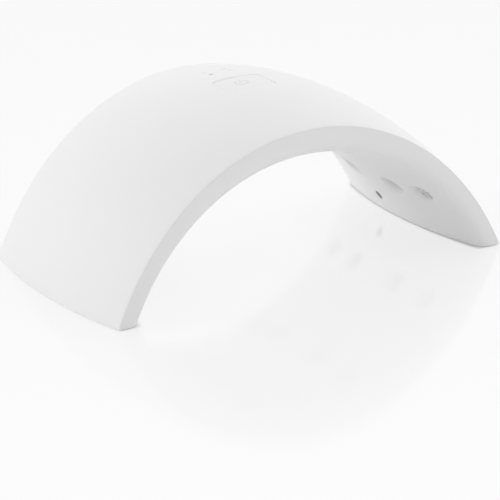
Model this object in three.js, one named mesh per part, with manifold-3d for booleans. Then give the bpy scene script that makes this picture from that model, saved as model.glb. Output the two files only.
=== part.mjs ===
// Ultraviolet nail lamp: a white arch that stands over the hand, open at the front and the back.
// Millimetres, +Z up, +X to the right, the front face towards -Y, the origin on the ground
// under the middle of the arch.
//
// An outer cover and an inner cover close around the electronics. Every skin of the arch follows
// one family of elliptic curves, told apart by how far they lie inside the outer edge curve.

import * as THREE from 'three';
import { mergeVertices } from 'three/addons/utils/BufferGeometryUtils.js';
import Module from 'manifold-3d';

const wasm = await Module();
wasm.setup();

// Arch: the curve of its front and back edges
const halfSpan = 96;
const edgeRise = 71;
const centreDrop = 57.6;
const crownInsetShare = 1.14;
const depth = 112;
const barrelSwell = 6.2;
const wall = 2;
const seam = 0.3;

// Hand side of the arch
const faceBand = 4.2;
const rimInset = 11.2;
const rimSetback = 5.7;
const handSwell = 6.1;

// Clearances
const clearance = 0.3;
const overrun = 1;

// Feet
const footPlate = 3.2;
const padRadius = 4.6;
const padThick = 1.4;
const padProud = 0.4;
const padEnd = 18;
const caseScrewBackShare = 0.25;
const caseScrewLength = 10;

// Key on the crown and its switch
const keyLength = 24;
const keyWidth = 18.4;
const keyCorner = 3.4;
const keySunk = 0.4;
const keyWall = 1.6;
const keyGap = 0.35;
const keyFlange = 1.1;
const keyFlangeThick = 1.2;
const stemRadius = 2.6;
const stemBelow = 2.6;
const switchSide = 6.2;
const switchTall = 3.6;
const plungerRadius = 1.7;
const plungerProud = 1.3;
const plungerDeep = 1.2;
const plungerWell = 2.6;

// Control board under the crown
const boardThick = 1.6;
const boardLength = 58;
const boardWidth = 46;
const boardBackEdge = 5.4;
const boardPostEnd = 5;
const boardPostEdge = 6;
const chipLength = 10;
const chipWidth = 6;
const chipTall = 1.6;
const chipPlaceShares = [-0.45, -0.52];
const capacitorRadius = 3.1;
const capacitorTall = 6.2;
const capacitorPlaceShares = [0.48, -0.52];

// Indicator light pipes behind the key
const pipeRadius = 1.1;
const pipeApart = 9.8;
const pipeBehindKey = 11.4;
const pipeCollarRadius = 2.1;
const pipeCollarThick = 1;
const signalLength = 3;
const signalWidth = 1.8;
const signalTall = 1.1;

// Lamp boards and their lamps
const stripShares = [-0.735, -0.25, 0.25, 0.735];
const stripNames = ['left_lower', 'left_upper', 'right_upper', 'right_lower'];
const stripInset = 10.1;
const stripWidth = 12.4;
const stripEnd = 1.6;
const ledEnd = 5.3;
const ledInnerShare = 0.445;
const ledBaseRadius = 2.5;
const ledBaseTall = 1.1;
const ledDomeRadius = 2.05;
const ledDomeTall = 1.2;
const cupBackRadius = 3.5;
const cupMouthRadius = 6.2;
const cupWall = 1.3;

// Screws and the bosses that take them
const screwRadius = 1.2;
const screwHeadRadius = 2.3;
const screwHeadTall = 1.5;
const boardScrewLength = 6;
const stripScrewLength = 6;
const bossWall = 1.7;
const crownScrewGap = 10;
const crownScrewLength = 9;
const crownCupDeep = 3.4;

// Hand sensor in each leg
const sensorShare = 0.905;
const sensorBackShare = 0.17;
const sensorRadius = 2.2;
const sensorCollarRadius = 3.4;
const sensorCollarThick = 0.9;
const sensorSide = 7;
const sensorTall = 3.4;

// Power inlet in the right leg
const inletBackShare = 0.45;
const inletLevel = 13;
const inletSide = 9;
const inletLength = 9.4;
const inletNoseRadius = 3.8;
const inletBoreRadius = 2.9;
const inletBoreDeep = 9;
const inletPinRadius = 1;
const inletPinLength = 8;

// Leads inside the arch
const leadRadius = 0.9;
const leadBoardInset = 6;
const leadApart = 1;
const inletLeadEdge = 4;

// Facets
const arcSteps = 28;
const widthSteps = 8;
const roundSteps = 3;
const cupSides = 12;
const rodSides = 10;
const cornerSteps = 4;
const leadSides = 6;
const leadSteps = 18;

const halfDepth = depth / 2;
const rimBack = halfDepth - rimSetback;
const barrelRadius = (halfDepth ** 2 + barrelSwell ** 2) / (2 * barrelSwell);
const handRadius = (rimBack ** 2 + handSwell ** 2) / (2 * handSwell);
const footLevel = padProud;
const padBack = halfDepth - padEnd;
const caseScrewBack = halfDepth * caseScrewBackShare;
const pipeBack = keyWidth / 2 + pipeBehindKey;
const boardBack = pipeBack + boardBackEdge;
const boardMiddle = boardBack - boardWidth / 2;
const crownScrewBack = boardBack + crownScrewGap;
const sensorBack = halfDepth * sensorBackShare;
const inletBack = halfDepth * inletBackShare;

// Colours and finishes
const whitePlastic = { color: 0xf1f1f0, roughness: 0.38, metalness: 0 };
const innerPlastic = { color: 0xe9e9e8, roughness: 0.34, metalness: 0 };
const keyPlastic = { color: 0xf3f3f2, roughness: 0.4, metalness: 0 };
const darkPlastic = { color: 0x1c1c1f, roughness: 0.5, metalness: 0 };
const tintedLens = { color: 0x140f16, roughness: 0.15, metalness: 0 };
const clearLens = { color: 0xd9d7e8, roughness: 0.12, metalness: 0 };
const boardGreen = { color: 0x1d5a36, roughness: 0.5, metalness: 0 };
const boardWhite = { color: 0xe6e7e4, roughness: 0.45, metalness: 0 };
const steel = { color: 0xb4b6b8, roughness: 0.32, metalness: 1 };
const rubber = { color: 0xd8d8d6, roughness: 0.85, metalness: 0 };
const blackJacket = { color: 0x232326, roughness: 0.6, metalness: 0 };

const lamp = new THREE.Group();
const body = new THREE.Group();
body.position.z = footLevel;
lamp.add(body);

// Mesh helpers

function solid(geometry) {
  const bare = geometry.index ? geometry.toNonIndexed() : geometry.clone();
  bare.deleteAttribute('normal');
  bare.deleteAttribute('uv');
  const merged = mergeVertices(bare);
  return new wasm.Manifold(new wasm.Mesh({
    numProp: 3,
    vertProperties: new Float32Array(merged.attributes.position.array),
    triVerts: new Uint32Array(merged.index.array),
  }));
}

function surface(manifold) {
  const mesh = manifold.getMesh();
  const geometry = new THREE.BufferGeometry();
  geometry.setAttribute('position', new THREE.BufferAttribute(mesh.vertProperties, 3));
  geometry.setIndex(new THREE.BufferAttribute(mesh.triVerts, 1));
  geometry.computeVertexNormals();
  return geometry;
}

function add(name, shape, finish, matrix) {
  const geometry = shape.isBufferGeometry ? shape : surface(shape);
  const mesh = new THREE.Mesh(geometry, new THREE.MeshStandardMaterial(finish));
  mesh.name = name;
  if (matrix) mesh.applyMatrix4(matrix);
  body.add(mesh);
  return mesh;
}

// A straight or tapered rod along Z between two levels
function rod(radius, low, high, sides = rodSides, topRadius = radius) {
  const geometry = new THREE.CylinderGeometry(topRadius, radius, high - low, sides);
  geometry.rotateX(Math.PI / 2);
  geometry.translate(0, 0, (low + high) / 2);
  return geometry;
}

function block(length, width, low, high) {
  const geometry = new THREE.BoxGeometry(length, width, high - low);
  geometry.translate(0, 0, (low + high) / 2);
  return geometry;
}

function turned(profile, sides) {
  const points = profile.map(([radius, level]) => new THREE.Vector2(radius, level));
  const geometry = new THREE.LatheGeometry(points, sides);
  geometry.rotateX(Math.PI / 2);
  return geometry;
}

function roundedPrism(length, width, corner, low, high) {
  const x = length / 2;
  const y = width / 2;
  const shape = new THREE.Shape();
  shape.moveTo(corner - x, -y);
  shape.lineTo(x - corner, -y);
  shape.absarc(x - corner, corner - y, corner, -Math.PI / 2, 0);
  shape.absarc(x - corner, y - corner, corner, 0, Math.PI / 2);
  shape.absarc(corner - x, y - corner, corner, Math.PI / 2, Math.PI);
  shape.absarc(corner - x, corner - y, corner, Math.PI, 1.5 * Math.PI);
  const geometry = new THREE.ExtrudeGeometry(shape, {
    depth: high - low, bevelEnabled: false, curveSegments: cornerSteps,
  });
  geometry.translate(0, 0, low);
  return geometry;
}

// Curves of the arch

// The ellipse that lies a given inset inside the edge curve: its centre is a drop below the ground
function ellipse(inset) {
  const drop = centreDrop - inset;
  const height = edgeRise - crownInsetShare * inset + drop;
  return { drop, height, reach: (halfSpan - inset) / Math.sqrt(1 - (drop / height) ** 2) };
}

// A point on that ellipse; the share runs from -1 at the left foot to 1 at the right foot
function place(share, inset, y) {
  const { drop, height, reach } = ellipse(inset);
  const angle = share * Math.acos(drop / height);
  return new THREE.Vector3(reach * Math.sin(angle), y, height * Math.cos(angle) - drop);
}

function levelAt(inset, x) {
  const { drop, height, reach } = ellipse(inset);
  return height * Math.sqrt(1 - (x / reach) ** 2) - drop;
}

function reachAt(inset, level) {
  const { drop, height, reach } = ellipse(inset);
  return reach * Math.sqrt(1 - ((level + drop) / height) ** 2);
}

function coverInset(y) {
  return barrelRadius - barrelSwell - Math.sqrt(barrelRadius ** 2 - y ** 2);
}

function handInset(y) {
  return rimInset + handSwell - handRadius + Math.sqrt(handRadius ** 2 - y ** 2);
}

// How far back from the middle plane that inner skin has risen to a given inset
function handBack(inset) {
  return Math.sqrt(handRadius ** 2 - (handRadius + inset - rimInset - handSwell) ** 2);
}

function spread(count, from, to) {
  return Array.from({ length: count + 1 }, (_, k) => from + ((to - from) * k) / count);
}

const archShares = spread(arcSteps, -1, 1);

// A closed loop of [y, inset] points carried along the whole arch, both ends flat on the ground
function sweep(outline) {
  const flat = outline.map(([y, inset]) => new THREE.Vector2(y, inset));
  if (THREE.ShapeUtils.isClockWise(flat)) flat.reverse();
  const count = flat.length;
  const points = archShares.flatMap((share) => flat.map((p) => place(share, p.y, p.x)));
  const index = [];
  for (let row = 0; row < arcSteps; row += 1) {
    for (let k = 0; k < count; k += 1) {
      const here = row * count + k;
      const next = row * count + ((k + 1) % count);
      index.push(here + count, next + count, next);
      index.push(here + count, next, here);
    }
  }
  const last = arcSteps * count;
  for (const [a, b, c] of THREE.ShapeUtils.triangulateShape(flat, [])) {
    index.push(a, b, c);
    index.push(last + c, last + b, last + a);
  }
  const geometry = new THREE.BufferGeometry();
  geometry.setAttribute('position', new THREE.Float32BufferAttribute(points.flatMap((p) => p.toArray()), 3));
  geometry.setIndex(index);
  return geometry;
}

// The outer skin, a given way below its outside
function coverSide(below, reachBack = halfDepth) {
  return spread(widthSteps, -reachBack, reachBack).map((y) => [y, coverInset(y) + below]);
}

// The skin that faces the hand, with its front and back faces, a given way behind its visible side
function handSide(behind) {
  const slope = rimBack / Math.sqrt(handRadius ** 2 - rimBack ** 2);
  const face = halfDepth - behind;
  const start = new THREE.Vector2(-face, faceBand - behind / 2);
  const bend = new THREE.Vector2(-face, rimInset - behind - slope * (face - rimBack));
  const end = new THREE.Vector2(-rimBack, rimInset - behind);
  const round = new THREE.QuadraticBezierCurve(start, bend, end).getPoints(roundSteps);
  const front = [[-face, wall + seam], ...round.slice(0, -1).map((p) => [p.x, p.y])];
  const back = front.map(([y, inset]) => [-y, inset]).reverse();
  const middle = spread(widthSteps, -rimBack, rimBack).map((y) => [y, handInset(y) - behind]);
  return [...front, ...middle, ...back];
}

// What lies under the outer cover's mid-wall, under its skin at the key's level, and outside the
// inner cover's mid-wall
const deepSide = coverSide(halfSpan / 3).reverse();
const insideCover = solid(sweep([...coverSide(wall / 2), ...deepSide]));
const underKeySkin = solid(sweep([...coverSide(keySunk), ...deepSide]));
const outsideHand = solid(sweep([...coverSide(-wall), ...handSide(wall / 2).reverse()]));

// A frame on the arch: X along it towards the right foot, Y to the back, Z outwards
function station(share, inset, y = 0) {
  const stepShare = 1e-3;
  const along = place(share + stepShare, inset, y).sub(place(share - stepShare, inset, y)).normalize();
  const back = new THREE.Vector3(0, 1, 0);
  const out = new THREE.Vector3().crossVectors(along, back);
  return new THREE.Matrix4().makeBasis(along, back, out).setPosition(place(share, inset, y));
}

function lifted(x, y, z) {
  return new THREE.Matrix4().makeTranslation(x, y, z);
}

const sides = [['left', -1], ['right', 1]];
const ends = [['front', -1], ['back', 1]];
const crownTop = place(0, coverInset(0), 0).z;

// The middle of a foot's thickness, a given way from the middle plane
function footMiddle(y) {
  const outside = place(1, coverInset(y) + wall + seam, y).x;
  const inside = place(1, handInset(y), y).x;
  return (outside + inside) / 2;
}

// Screws point along +Z from the seat under the head

const screwHole = screwRadius + clearance;
const headHole = screwHeadRadius + clearance;
const bossRadius = screwHole + bossWall;

function screw(length) {
  return turned([
    [0, -screwHeadTall], [screwHeadRadius, -screwHeadTall], [screwHeadRadius, 0], [screwRadius, 0],
    [screwRadius, length - screwRadius], [0, length],
  ], rodSides);
}

// Places worked out from the driving sizes

const keyHoleLength = keyLength + 2 * keyGap;
const keyHoleWidth = keyWidth + 2 * keyGap;
const flangeLength = keyHoleLength + 2 * keyFlange;
const flangeWidth = keyHoleWidth + 2 * keyFlange;
const flangeTop = levelAt(coverInset(flangeWidth / 2) + wall, flangeLength / 2) - clearance;
const flangeBottom = flangeTop - keyFlangeThick;

const stemEnd = flangeBottom - stemBelow;
const switchTop = stemEnd - clearance - plungerProud;
const partLevel = switchTop - switchTall;
const boardTop = partLevel - clearance;
const boardLevel = boardTop - boardThick;

const postX = boardLength / 2 - boardPostEnd;
const postBacks = ends.map(([, end]) => boardMiddle + end * (boardWidth / 2 - boardPostEdge));
const boardPosts = [-postX, postX].flatMap((x) => postBacks.map((y) => [x, y]));
const boardScrews = [['left', -postX, postBacks[1]], ['right', postX, postBacks[0]]];

const crownSeat = place(0, handInset(crownScrewBack), crownScrewBack).z + crownCupDeep;
const crownCupTop = crownSeat + wall;

const caseSeat = screwHeadTall + clearance;

const stripFrames = stripShares.map((share) => station(share, stripInset));
const stripLength = 2 * (handBack(stripInset + wall + clearance) - stripEnd);
const ledOuterBack = stripLength / 2 - ledEnd;
const ledInnerBack = ledOuterBack * ledInnerShare;
const ledBacks = [-ledOuterBack, -ledInnerBack, ledInnerBack, ledOuterBack];

const inletShoulder = reachAt(
  coverInset(inletBack + inletSide / 2) + wall, inletLevel + inletSide / 2) - clearance;
const inletStart = inletShoulder - inletLength;
const inletNose = inletLength + wall + clearance;

// Outer cover: the barrelled skin, with hanging bosses for the case, crown and board screws

function outerCover() {
  let cover = solid(sweep([...coverSide(0), ...coverSide(wall).reverse()]));
  const bosses = [];
  const bores = [];
  for (const [, side] of sides) {
    for (const [, end] of ends) {
      const y = end * caseScrewBack;
      const x = side * footMiddle(y);
      bosses.push(rod(bossRadius, footPlate + clearance, edgeRise / 2).translate(x, y, 0));
      bores.push(rod(screwHole, 0, caseSeat + caseScrewLength + clearance).translate(x, y, 0));
    }
  }
  for (const [x, y] of boardPosts) {
    bosses.push(rod(bossRadius, boardTop + clearance, crownTop).translate(x, y, 0));
  }
  for (const [, x, y] of boardScrews) {
    bores.push(rod(screwHole, boardLevel, boardLevel + boardScrewLength).translate(x, y, 0));
  }
  for (const [, end] of ends) {
    const y = end * crownScrewBack;
    bosses.push(rod(bossRadius, crownCupTop + clearance, crownTop).translate(0, y, 0));
    bores.push(rod(screwHole, crownSeat, crownSeat + crownScrewLength + clearance).translate(0, y, 0));
  }
  for (const boss of bosses) cover = cover.add(solid(boss).intersect(insideCover));
  for (const bore of bores) cover = cover.subtract(solid(bore));
  cover = cover.subtract(solid(roundedPrism(
    keyHoleLength, keyHoleWidth, keyCorner + keyGap, flangeTop, crownTop + overrun)));
  for (const [, side] of sides) {
    const hole = rod(pipeRadius + clearance, boardTop, crownTop + overrun);
    cover = cover.subtract(solid(hole.translate((side * pipeApart) / 2, pipeBack, 0)));
  }
  const throat = rod(inletNoseRadius + clearance, 0, halfSpan, cupSides).rotateY(Math.PI / 2);
  return cover.subtract(solid(throat.translate(inletStart, inletBack, inletLevel)));
}

// Inner cover: the skin over the hand with its faces and foot plates, a cone-shaped reflector cup
// behind each lamp opening, and seats for the screws, pads and sensor windows

// How far the visible skin lies below a lamp board's face
function cupDepth(strip, y) {
  const point = place(stripShares[strip], handInset(y), y);
  return -point.applyMatrix4(stripFrames[strip].clone().invert()).z;
}

function innerCover() {
  let cover = solid(sweep([...handSide(0), ...handSide(wall).reverse()]));
  const hollow = sweep([...coverSide(wall + seam, halfDepth - wall / 2), ...handSide(wall / 2).reverse()]);
  cover = cover.add(solid(hollow).intersect(solid(block(4 * halfSpan, 2 * depth, -overrun, footPlate))));
  const grown = [];
  const cut = [];
  stripFrames.forEach((frame, strip) => {
    for (const y of ledBacks) {
      const deep = cupDepth(strip, y);
      const flareShare = (cupMouthRadius - cupBackRadius) / deep;
      const mouth = cupMouthRadius + flareShare * overrun;
      const back = cupBackRadius - flareShare * overrun;
      const cup = rod(cupMouthRadius + cupWall, -deep, -clearance, cupSides, cupBackRadius + cupWall);
      grown.push(cup.translate(0, y, 0).applyMatrix4(frame));
      cut.push(rod(mouth, -deep - overrun, overrun, cupSides, back).translate(0, y, 0).applyMatrix4(frame));
    }
    grown.push(rod(bossRadius, -cupDepth(strip, 0), -clearance).applyMatrix4(frame));
    cut.push(rod(screwHole, boardThick - stripScrewLength, overrun).applyMatrix4(frame));
  });
  for (const [, end] of ends) {
    const y = end * crownScrewBack;
    grown.push(rod(headHole + cupWall, crownSeat - crownCupDeep - wall, crownCupTop).translate(0, y, 0));
    cut.push(rod(headHole, boardLevel / 2, crownSeat).translate(0, y, 0));
    cut.push(rod(screwHole, boardLevel / 2, crownTop).translate(0, y, 0));
  }
  for (const [, side] of sides) {
    for (const [, end] of ends) {
      const screwY = end * caseScrewBack;
      const screwX = side * footMiddle(screwY);
      cut.push(rod(headHole, -overrun, caseSeat + clearance).translate(screwX, screwY, 0));
      cut.push(rod(screwHole, -overrun, footPlate + overrun).translate(screwX, screwY, 0));
      const padY = end * padBack;
      const pocket = rod(padRadius + clearance, -overrun, padThick - padProud + clearance, cupSides);
      cut.push(pocket.translate(side * footMiddle(padY), padY, 0));
    }
    const window = rod(sensorRadius + clearance, -wall - overrun, wall + overrun, cupSides);
    cut.push(window.applyMatrix4(station(side * sensorShare, handInset(sensorBack), sensorBack)));
  }
  for (const piece of grown) cover = cover.add(solid(piece).intersect(outsideHand));
  for (const piece of cut) cover = cover.subtract(solid(piece));
  return cover;
}

// Key: a cap that follows the crown, with a flange under the cover and a stem over the switch

function timerButton() {
  const ceiling = flangeTop + clearance;
  const cap = solid(roundedPrism(keyLength, keyWidth, keyCorner, flangeBottom, crownTop + overrun));
  const flange = roundedPrism(flangeLength, flangeWidth, keyCorner + keyFlange, flangeBottom, flangeTop);
  const hollow = roundedPrism(
    keyLength - 2 * keyWall, keyWidth - 2 * keyWall, keyCorner - keyWall, flangeBottom - overrun, ceiling);
  const stem = rod(stemRadius, stemEnd, ceiling + overrun);
  return cap.intersect(underKeySkin).add(solid(flange)).subtract(solid(hollow)).add(solid(stem));
}

function switchBody() {
  const box = solid(block(switchSide, switchSide, 0, switchTall));
  return box.subtract(solid(rod(plungerRadius + clearance, switchTall - plungerWell, switchTall + overrun)));
}

function lightPipe() {
  const low = partLevel + signalTall + clearance;
  const under = coverInset(pipeBack + pipeCollarRadius) + wall;
  const collarTop = levelAt(under, pipeApart / 2 + pipeCollarRadius) - clearance;
  const collarLow = collarTop - pipeCollarThick;
  const top = levelAt(coverInset(pipeBack), pipeApart / 2);
  return turned([
    [0, low], [pipeRadius, low], [pipeRadius, collarLow], [pipeCollarRadius, collarLow],
    [pipeCollarRadius, collarTop], [pipeRadius, collarTop], [pipeRadius, top], [0, top],
  ], rodSides);
}

function controlBoard() {
  let board = solid(block(boardLength, boardWidth, 0, boardThick).translate(0, boardMiddle, 0));
  for (const [, x, y] of boardScrews) {
    board = board.subtract(solid(rod(screwHole, -overrun, boardThick + overrun).translate(x, y, 0)));
  }
  return board;
}

function stripBoard() {
  const board = solid(block(stripWidth, stripLength, 0, boardThick));
  return board.subtract(solid(rod(screwHole, -overrun, boardThick + overrun)));
}

// A place on the control board, as shares of its half length and half width
function onBoard([alongShare, acrossShare]) {
  return lifted(
    (alongShare * boardLength) / 2, boardMiddle + (acrossShare * boardWidth) / 2, partLevel);
}

// Lamp: a round base with a domed lens, pointing down from its board

function uvLed() {
  const dome = spread(roundSteps, 0, Math.PI / 2).slice(0, -1).map((angle) => [
    ledDomeRadius * Math.cos(angle), -ledBaseTall - ledDomeTall * Math.sin(angle),
  ]);
  return turned([
    [0, -ledBaseTall - ledDomeTall], ...dome.reverse(),
    [ledBaseRadius, -ledBaseTall], [ledBaseRadius, 0], [0, 0],
  ], rodSides);
}

// Hand sensor: a tinted window in the inner cover with a small module behind it

const sensorCollarLow = wall + clearance;
const sensorModuleLow = sensorCollarLow + sensorCollarThick + clearance;
const sensorOuter = sensorModuleLow + sensorTall;

function sensorWindow() {
  const top = sensorCollarLow + sensorCollarThick;
  return turned([
    [0, 0], [sensorRadius, 0], [sensorRadius, sensorCollarLow], [sensorCollarRadius, sensorCollarLow],
    [sensorCollarRadius, top], [0, top],
  ], cupSides);
}

// Power inlet: a box behind the cover's wall, its nose in a round hole, a pin in the middle

function powerInlet() {
  const box = solid(block(inletSide, inletSide, 0, inletLength));
  const nose = solid(rod(inletNoseRadius, 0, inletNose, cupSides));
  const bore = solid(rod(inletBoreRadius, inletNose - inletBoreDeep, inletNose + overrun, cupSides));
  return box.add(nose).subtract(bore);
}

function inletPin() {
  const start = inletNose - inletBoreDeep + clearance;
  const tip = start + inletPinLength;
  return turned([
    [0, start], [inletPinRadius, start], [inletPinRadius, tip - inletPinRadius / 2],
    [inletPinRadius / 2, tip], [0, tip],
  ], rodSides);
}

// Lead: a tube along a smooth path through a few points

function lead(points) {
  const circle = new THREE.Shape().absarc(0, 0, leadRadius, 0, 2 * Math.PI);
  return new THREE.ExtrudeGeometry(circle, {
    steps: leadSteps, curveSegments: leadSides / 2, extrudePath: new THREE.CatmullRomCurve3(points),
  });
}

// The runs of the leads along the arch: shares of the way from the crown to a foot, with insets
const stripLeadInset = stripInset - boardThick - leadRadius - 2 * clearance;
const stripLeadBack = postBacks[0] - screwHeadRadius - leadApart - leadRadius;
const stripLeadShares = [0.28, 0.42, 0.56, 0.67, 0.735];
const sensorLeadShares = [0.82, 0.66, 0.48, 0.33];
const inletLeadShares = [0.74, 0.6, 0.45, 0.32];

function boardEnd(side, y) {
  return new THREE.Vector3(
    side * (boardLength / 2 - leadBoardInset), y, boardLevel - clearance - leadRadius);
}

function stripLead(side) {
  const run = stripLeadShares.map((share) => place(side * share, stripLeadInset, stripLeadBack));
  return lead([boardEnd(side, stripLeadBack), ...run]);
}

function sensorLead(side) {
  const frame = station(side * sensorShare, handInset(sensorBack), sensorBack);
  const start = new THREE.Vector3(0, 0, sensorOuter + clearance);
  const out = new THREE.Vector3(0, 0, sensorOuter + clearance + 2 * leadRadius);
  const run = sensorLeadShares.map((share) => place(side * share, stripLeadInset - leadRadius, sensorBack));
  return lead([start.applyMatrix4(frame), out.applyMatrix4(frame), ...run, boardEnd(side, sensorBack)]);
}

function inletLead() {
  const start = new THREE.Vector3(
    inletStart + inletLength / 2, inletBack, inletLevel + inletSide / 2 + clearance);
  const out = start.clone();
  out.z += 2 * leadRadius;
  const run = inletLeadShares.map((share) => place(share, stripLeadInset - leadRadius, inletBack));
  return lead([start, out, ...run, boardEnd(1, boardBack - inletLeadEdge)]);
}

// Covers

add('outer_cover', outerCover(), whitePlastic);
add('inner_cover', innerCover(), innerPlastic);

for (const [sideName, side] of sides) {
  for (const [endName, end] of ends) {
    const screwY = end * caseScrewBack;
    const padY = end * padBack;
    add(`case_screw_${sideName}_${endName}`, screw(caseScrewLength), steel,
      lifted(side * footMiddle(screwY), screwY, caseSeat));
    add(`foot_pad_${sideName}_${endName}`, rod(padRadius, -padProud, padThick - padProud, cupSides), rubber,
      lifted(side * footMiddle(padY), padY, 0));
  }
}
for (const [endName, end] of ends) {
  add(`crown_screw_${endName}`, screw(crownScrewLength), steel,
    lifted(0, end * crownScrewBack, crownSeat - clearance));
}

// Key, switch and indicators

add('timer_button', timerButton(), keyPlastic);
add('switch_plunger', rod(plungerRadius, -plungerDeep, plungerProud), darkPlastic, lifted(0, 0, switchTop));
add('switch_body', switchBody(), darkPlastic, lifted(0, 0, partLevel));
for (const [sideName, side] of sides) {
  const x = (side * pipeApart) / 2;
  add(`indicator_pipe_${sideName}`, lightPipe(), clearLens, lifted(x, pipeBack, 0));
  add(`indicator_light_${sideName}`, block(signalWidth, signalLength, 0, signalTall), boardWhite,
    lifted(x, pipeBack, partLevel));
}

// Control board

add('control_board', controlBoard(), boardGreen, lifted(0, 0, boardLevel));
add('timer_chip', block(chipLength, chipWidth, 0, chipTall), darkPlastic, onBoard(chipPlaceShares));
add('capacitor', rod(capacitorRadius, 0, capacitorTall, cupSides), darkPlastic,
  onBoard(capacitorPlaceShares));
for (const [name, x, y] of boardScrews) {
  add(`board_screw_${name}`, screw(boardScrewLength), steel, lifted(x, y, boardLevel - clearance));
}

// Lamp boards

stripFrames.forEach((frame, strip) => {
  const name = stripNames[strip];
  add(`led_board_${name}`, stripBoard(), boardWhite, frame);
  ledBacks.forEach((y, k) => {
    add(`uv_led_${name}_${k + 1}`, uvLed(), clearLens, frame.clone().multiply(lifted(0, y, -clearance)));
  });
  const turnedOver = new THREE.Matrix4().makeRotationX(Math.PI);
  add(`led_board_screw_${name}`, screw(stripScrewLength), steel,
    frame.clone().multiply(lifted(0, 0, boardThick + clearance)).multiply(turnedOver));
});

// Hand sensors

for (const [sideName, side] of sides) {
  const frame = station(side * sensorShare, handInset(sensorBack), sensorBack);
  add(`sensor_window_${sideName}`, sensorWindow(), tintedLens, frame);
  add(`sensor_module_${sideName}`, block(sensorSide, sensorSide, sensorModuleLow, sensorOuter), darkPlastic,
    frame);
}

// Power inlet

const inletFrame = lifted(inletStart, inletBack, inletLevel).multiply(
  new THREE.Matrix4().makeRotationY(Math.PI / 2));
add('power_inlet', powerInlet(), darkPlastic, inletFrame);
add('inlet_pin', inletPin(), steel, inletFrame);

// Leads

for (const [sideName, side] of sides) {
  add(`strip_lead_${sideName}`, stripLead(side), blackJacket);
  add(`sensor_lead_${sideName}`, sensorLead(side), blackJacket);
}
add('inlet_lead', inletLead(), blackJacket);

export default lamp;
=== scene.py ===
# %% [markdown]
# # Ultraviolet nail lamp
# A small arch of white plastic that stands over one hand and hardens gel polish with sixteen
# lamps. Two moulded covers close around the electronics, a key and two signal dots sit on the
# crown, and the hand side has a round cup for every lamp. The frame already holds each part at
# its real size and place, so every piece below is modelled where its part stands.

# %% Load the frame
import math

import bmesh
import bpy
from mathutils import Matrix, Vector


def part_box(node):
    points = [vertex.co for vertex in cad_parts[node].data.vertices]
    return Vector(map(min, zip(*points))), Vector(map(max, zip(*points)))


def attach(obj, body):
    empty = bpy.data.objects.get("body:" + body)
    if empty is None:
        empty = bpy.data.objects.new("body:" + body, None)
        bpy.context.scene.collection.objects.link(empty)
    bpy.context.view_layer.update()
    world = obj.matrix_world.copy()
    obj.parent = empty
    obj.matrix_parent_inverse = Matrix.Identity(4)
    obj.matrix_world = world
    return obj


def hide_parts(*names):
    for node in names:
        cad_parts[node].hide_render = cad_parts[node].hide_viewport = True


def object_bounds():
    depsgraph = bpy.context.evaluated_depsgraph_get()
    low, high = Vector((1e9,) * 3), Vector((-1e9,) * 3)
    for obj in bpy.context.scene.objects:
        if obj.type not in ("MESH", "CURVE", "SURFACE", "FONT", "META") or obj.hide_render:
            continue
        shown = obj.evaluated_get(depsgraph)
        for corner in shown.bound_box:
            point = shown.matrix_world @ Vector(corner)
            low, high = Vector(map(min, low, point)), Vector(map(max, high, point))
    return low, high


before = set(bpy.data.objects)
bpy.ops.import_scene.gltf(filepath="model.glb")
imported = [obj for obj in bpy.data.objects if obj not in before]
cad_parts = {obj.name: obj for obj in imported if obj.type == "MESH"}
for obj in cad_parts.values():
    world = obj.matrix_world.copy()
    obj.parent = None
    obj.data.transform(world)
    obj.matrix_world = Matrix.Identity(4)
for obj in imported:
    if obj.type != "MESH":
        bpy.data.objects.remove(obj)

MM = 0.001
bpy.context.view_layer.update()
cad_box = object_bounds()
print("CAD box in mm:", [[round(c / MM, 2) for c in corner] for corner in cad_box])

# %% [markdown]
# ## Viewpoint
# The photograph was taken from the front left with a long lens, so the arch shows its front
# face, its left skin and the inside of its right leg with hardly any perspective. A camera can
# be aimed by hand or by a tracking constraint. Here its three axes are worked out from two
# angles and a small roll, which keeps the view exact and easy to read.

# %% Camera
VIEW_AZIMUTH = math.radians(-29.87)
VIEW_ELEVATION = math.radians(19.76)
VIEW_ROLL = math.radians(-1.53)
VIEW_DISTANCE = 1673.6 * MM
VIEW_AIM = Vector((0.5, -0.2, 0.2)) * MM
VIEW_LENS = 271.6
SENSOR_WIDTH = 36
FARTHEST_SEEN = 100


def direction(azimuth, elevation):
    """Points away from the lamp: round it from its front, and up from the table."""
    return Vector((
        math.sin(azimuth) * math.cos(elevation),
        -math.cos(azimuth) * math.cos(elevation),
        math.sin(elevation),
    ))


def add_camera():
    back = direction(VIEW_AZIMUTH, VIEW_ELEVATION)
    right = Vector((math.cos(VIEW_AZIMUTH), math.sin(VIEW_AZIMUTH), 0))
    up = back.cross(right)
    rolled_right = right * math.cos(VIEW_ROLL) + up * math.sin(VIEW_ROLL)
    rolled_up = up * math.cos(VIEW_ROLL) - right * math.sin(VIEW_ROLL)
    bpy.ops.object.camera_add()
    camera = bpy.context.object
    camera.name = "viewpoint"
    turn = Matrix((rolled_right, rolled_up, back)).transposed().to_4x4()
    camera.matrix_world = Matrix.Translation(VIEW_AIM + back * VIEW_DISTANCE) @ turn
    camera.data.lens = VIEW_LENS
    camera.data.sensor_width = SENSOR_WIDTH
    camera.data.clip_end = FARTHEST_SEEN
    bpy.context.scene.camera = camera
    return camera


print("Camera stands at", add_camera().location)

# %% [markdown]
# ## Studio
# The lamp stands on a glossy white table in even light, and both fade to the same pale grey.
# The world is that grey for the camera and for reflections, and a dimmer sky for everything
# else, so that wide soft suns can shape the arch. Suns are used because their light doesn't
# fall off with distance: the table keeps one tone out to the horizon. The strongest stands behind
# the arch and lights its hand side through the open back, and weaker ones all round give every
# side some shape without reaching plain white. No sun shows in a reflection, so gloss mirrors
# only the even backdrop, as in a tent of white cloth.

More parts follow.
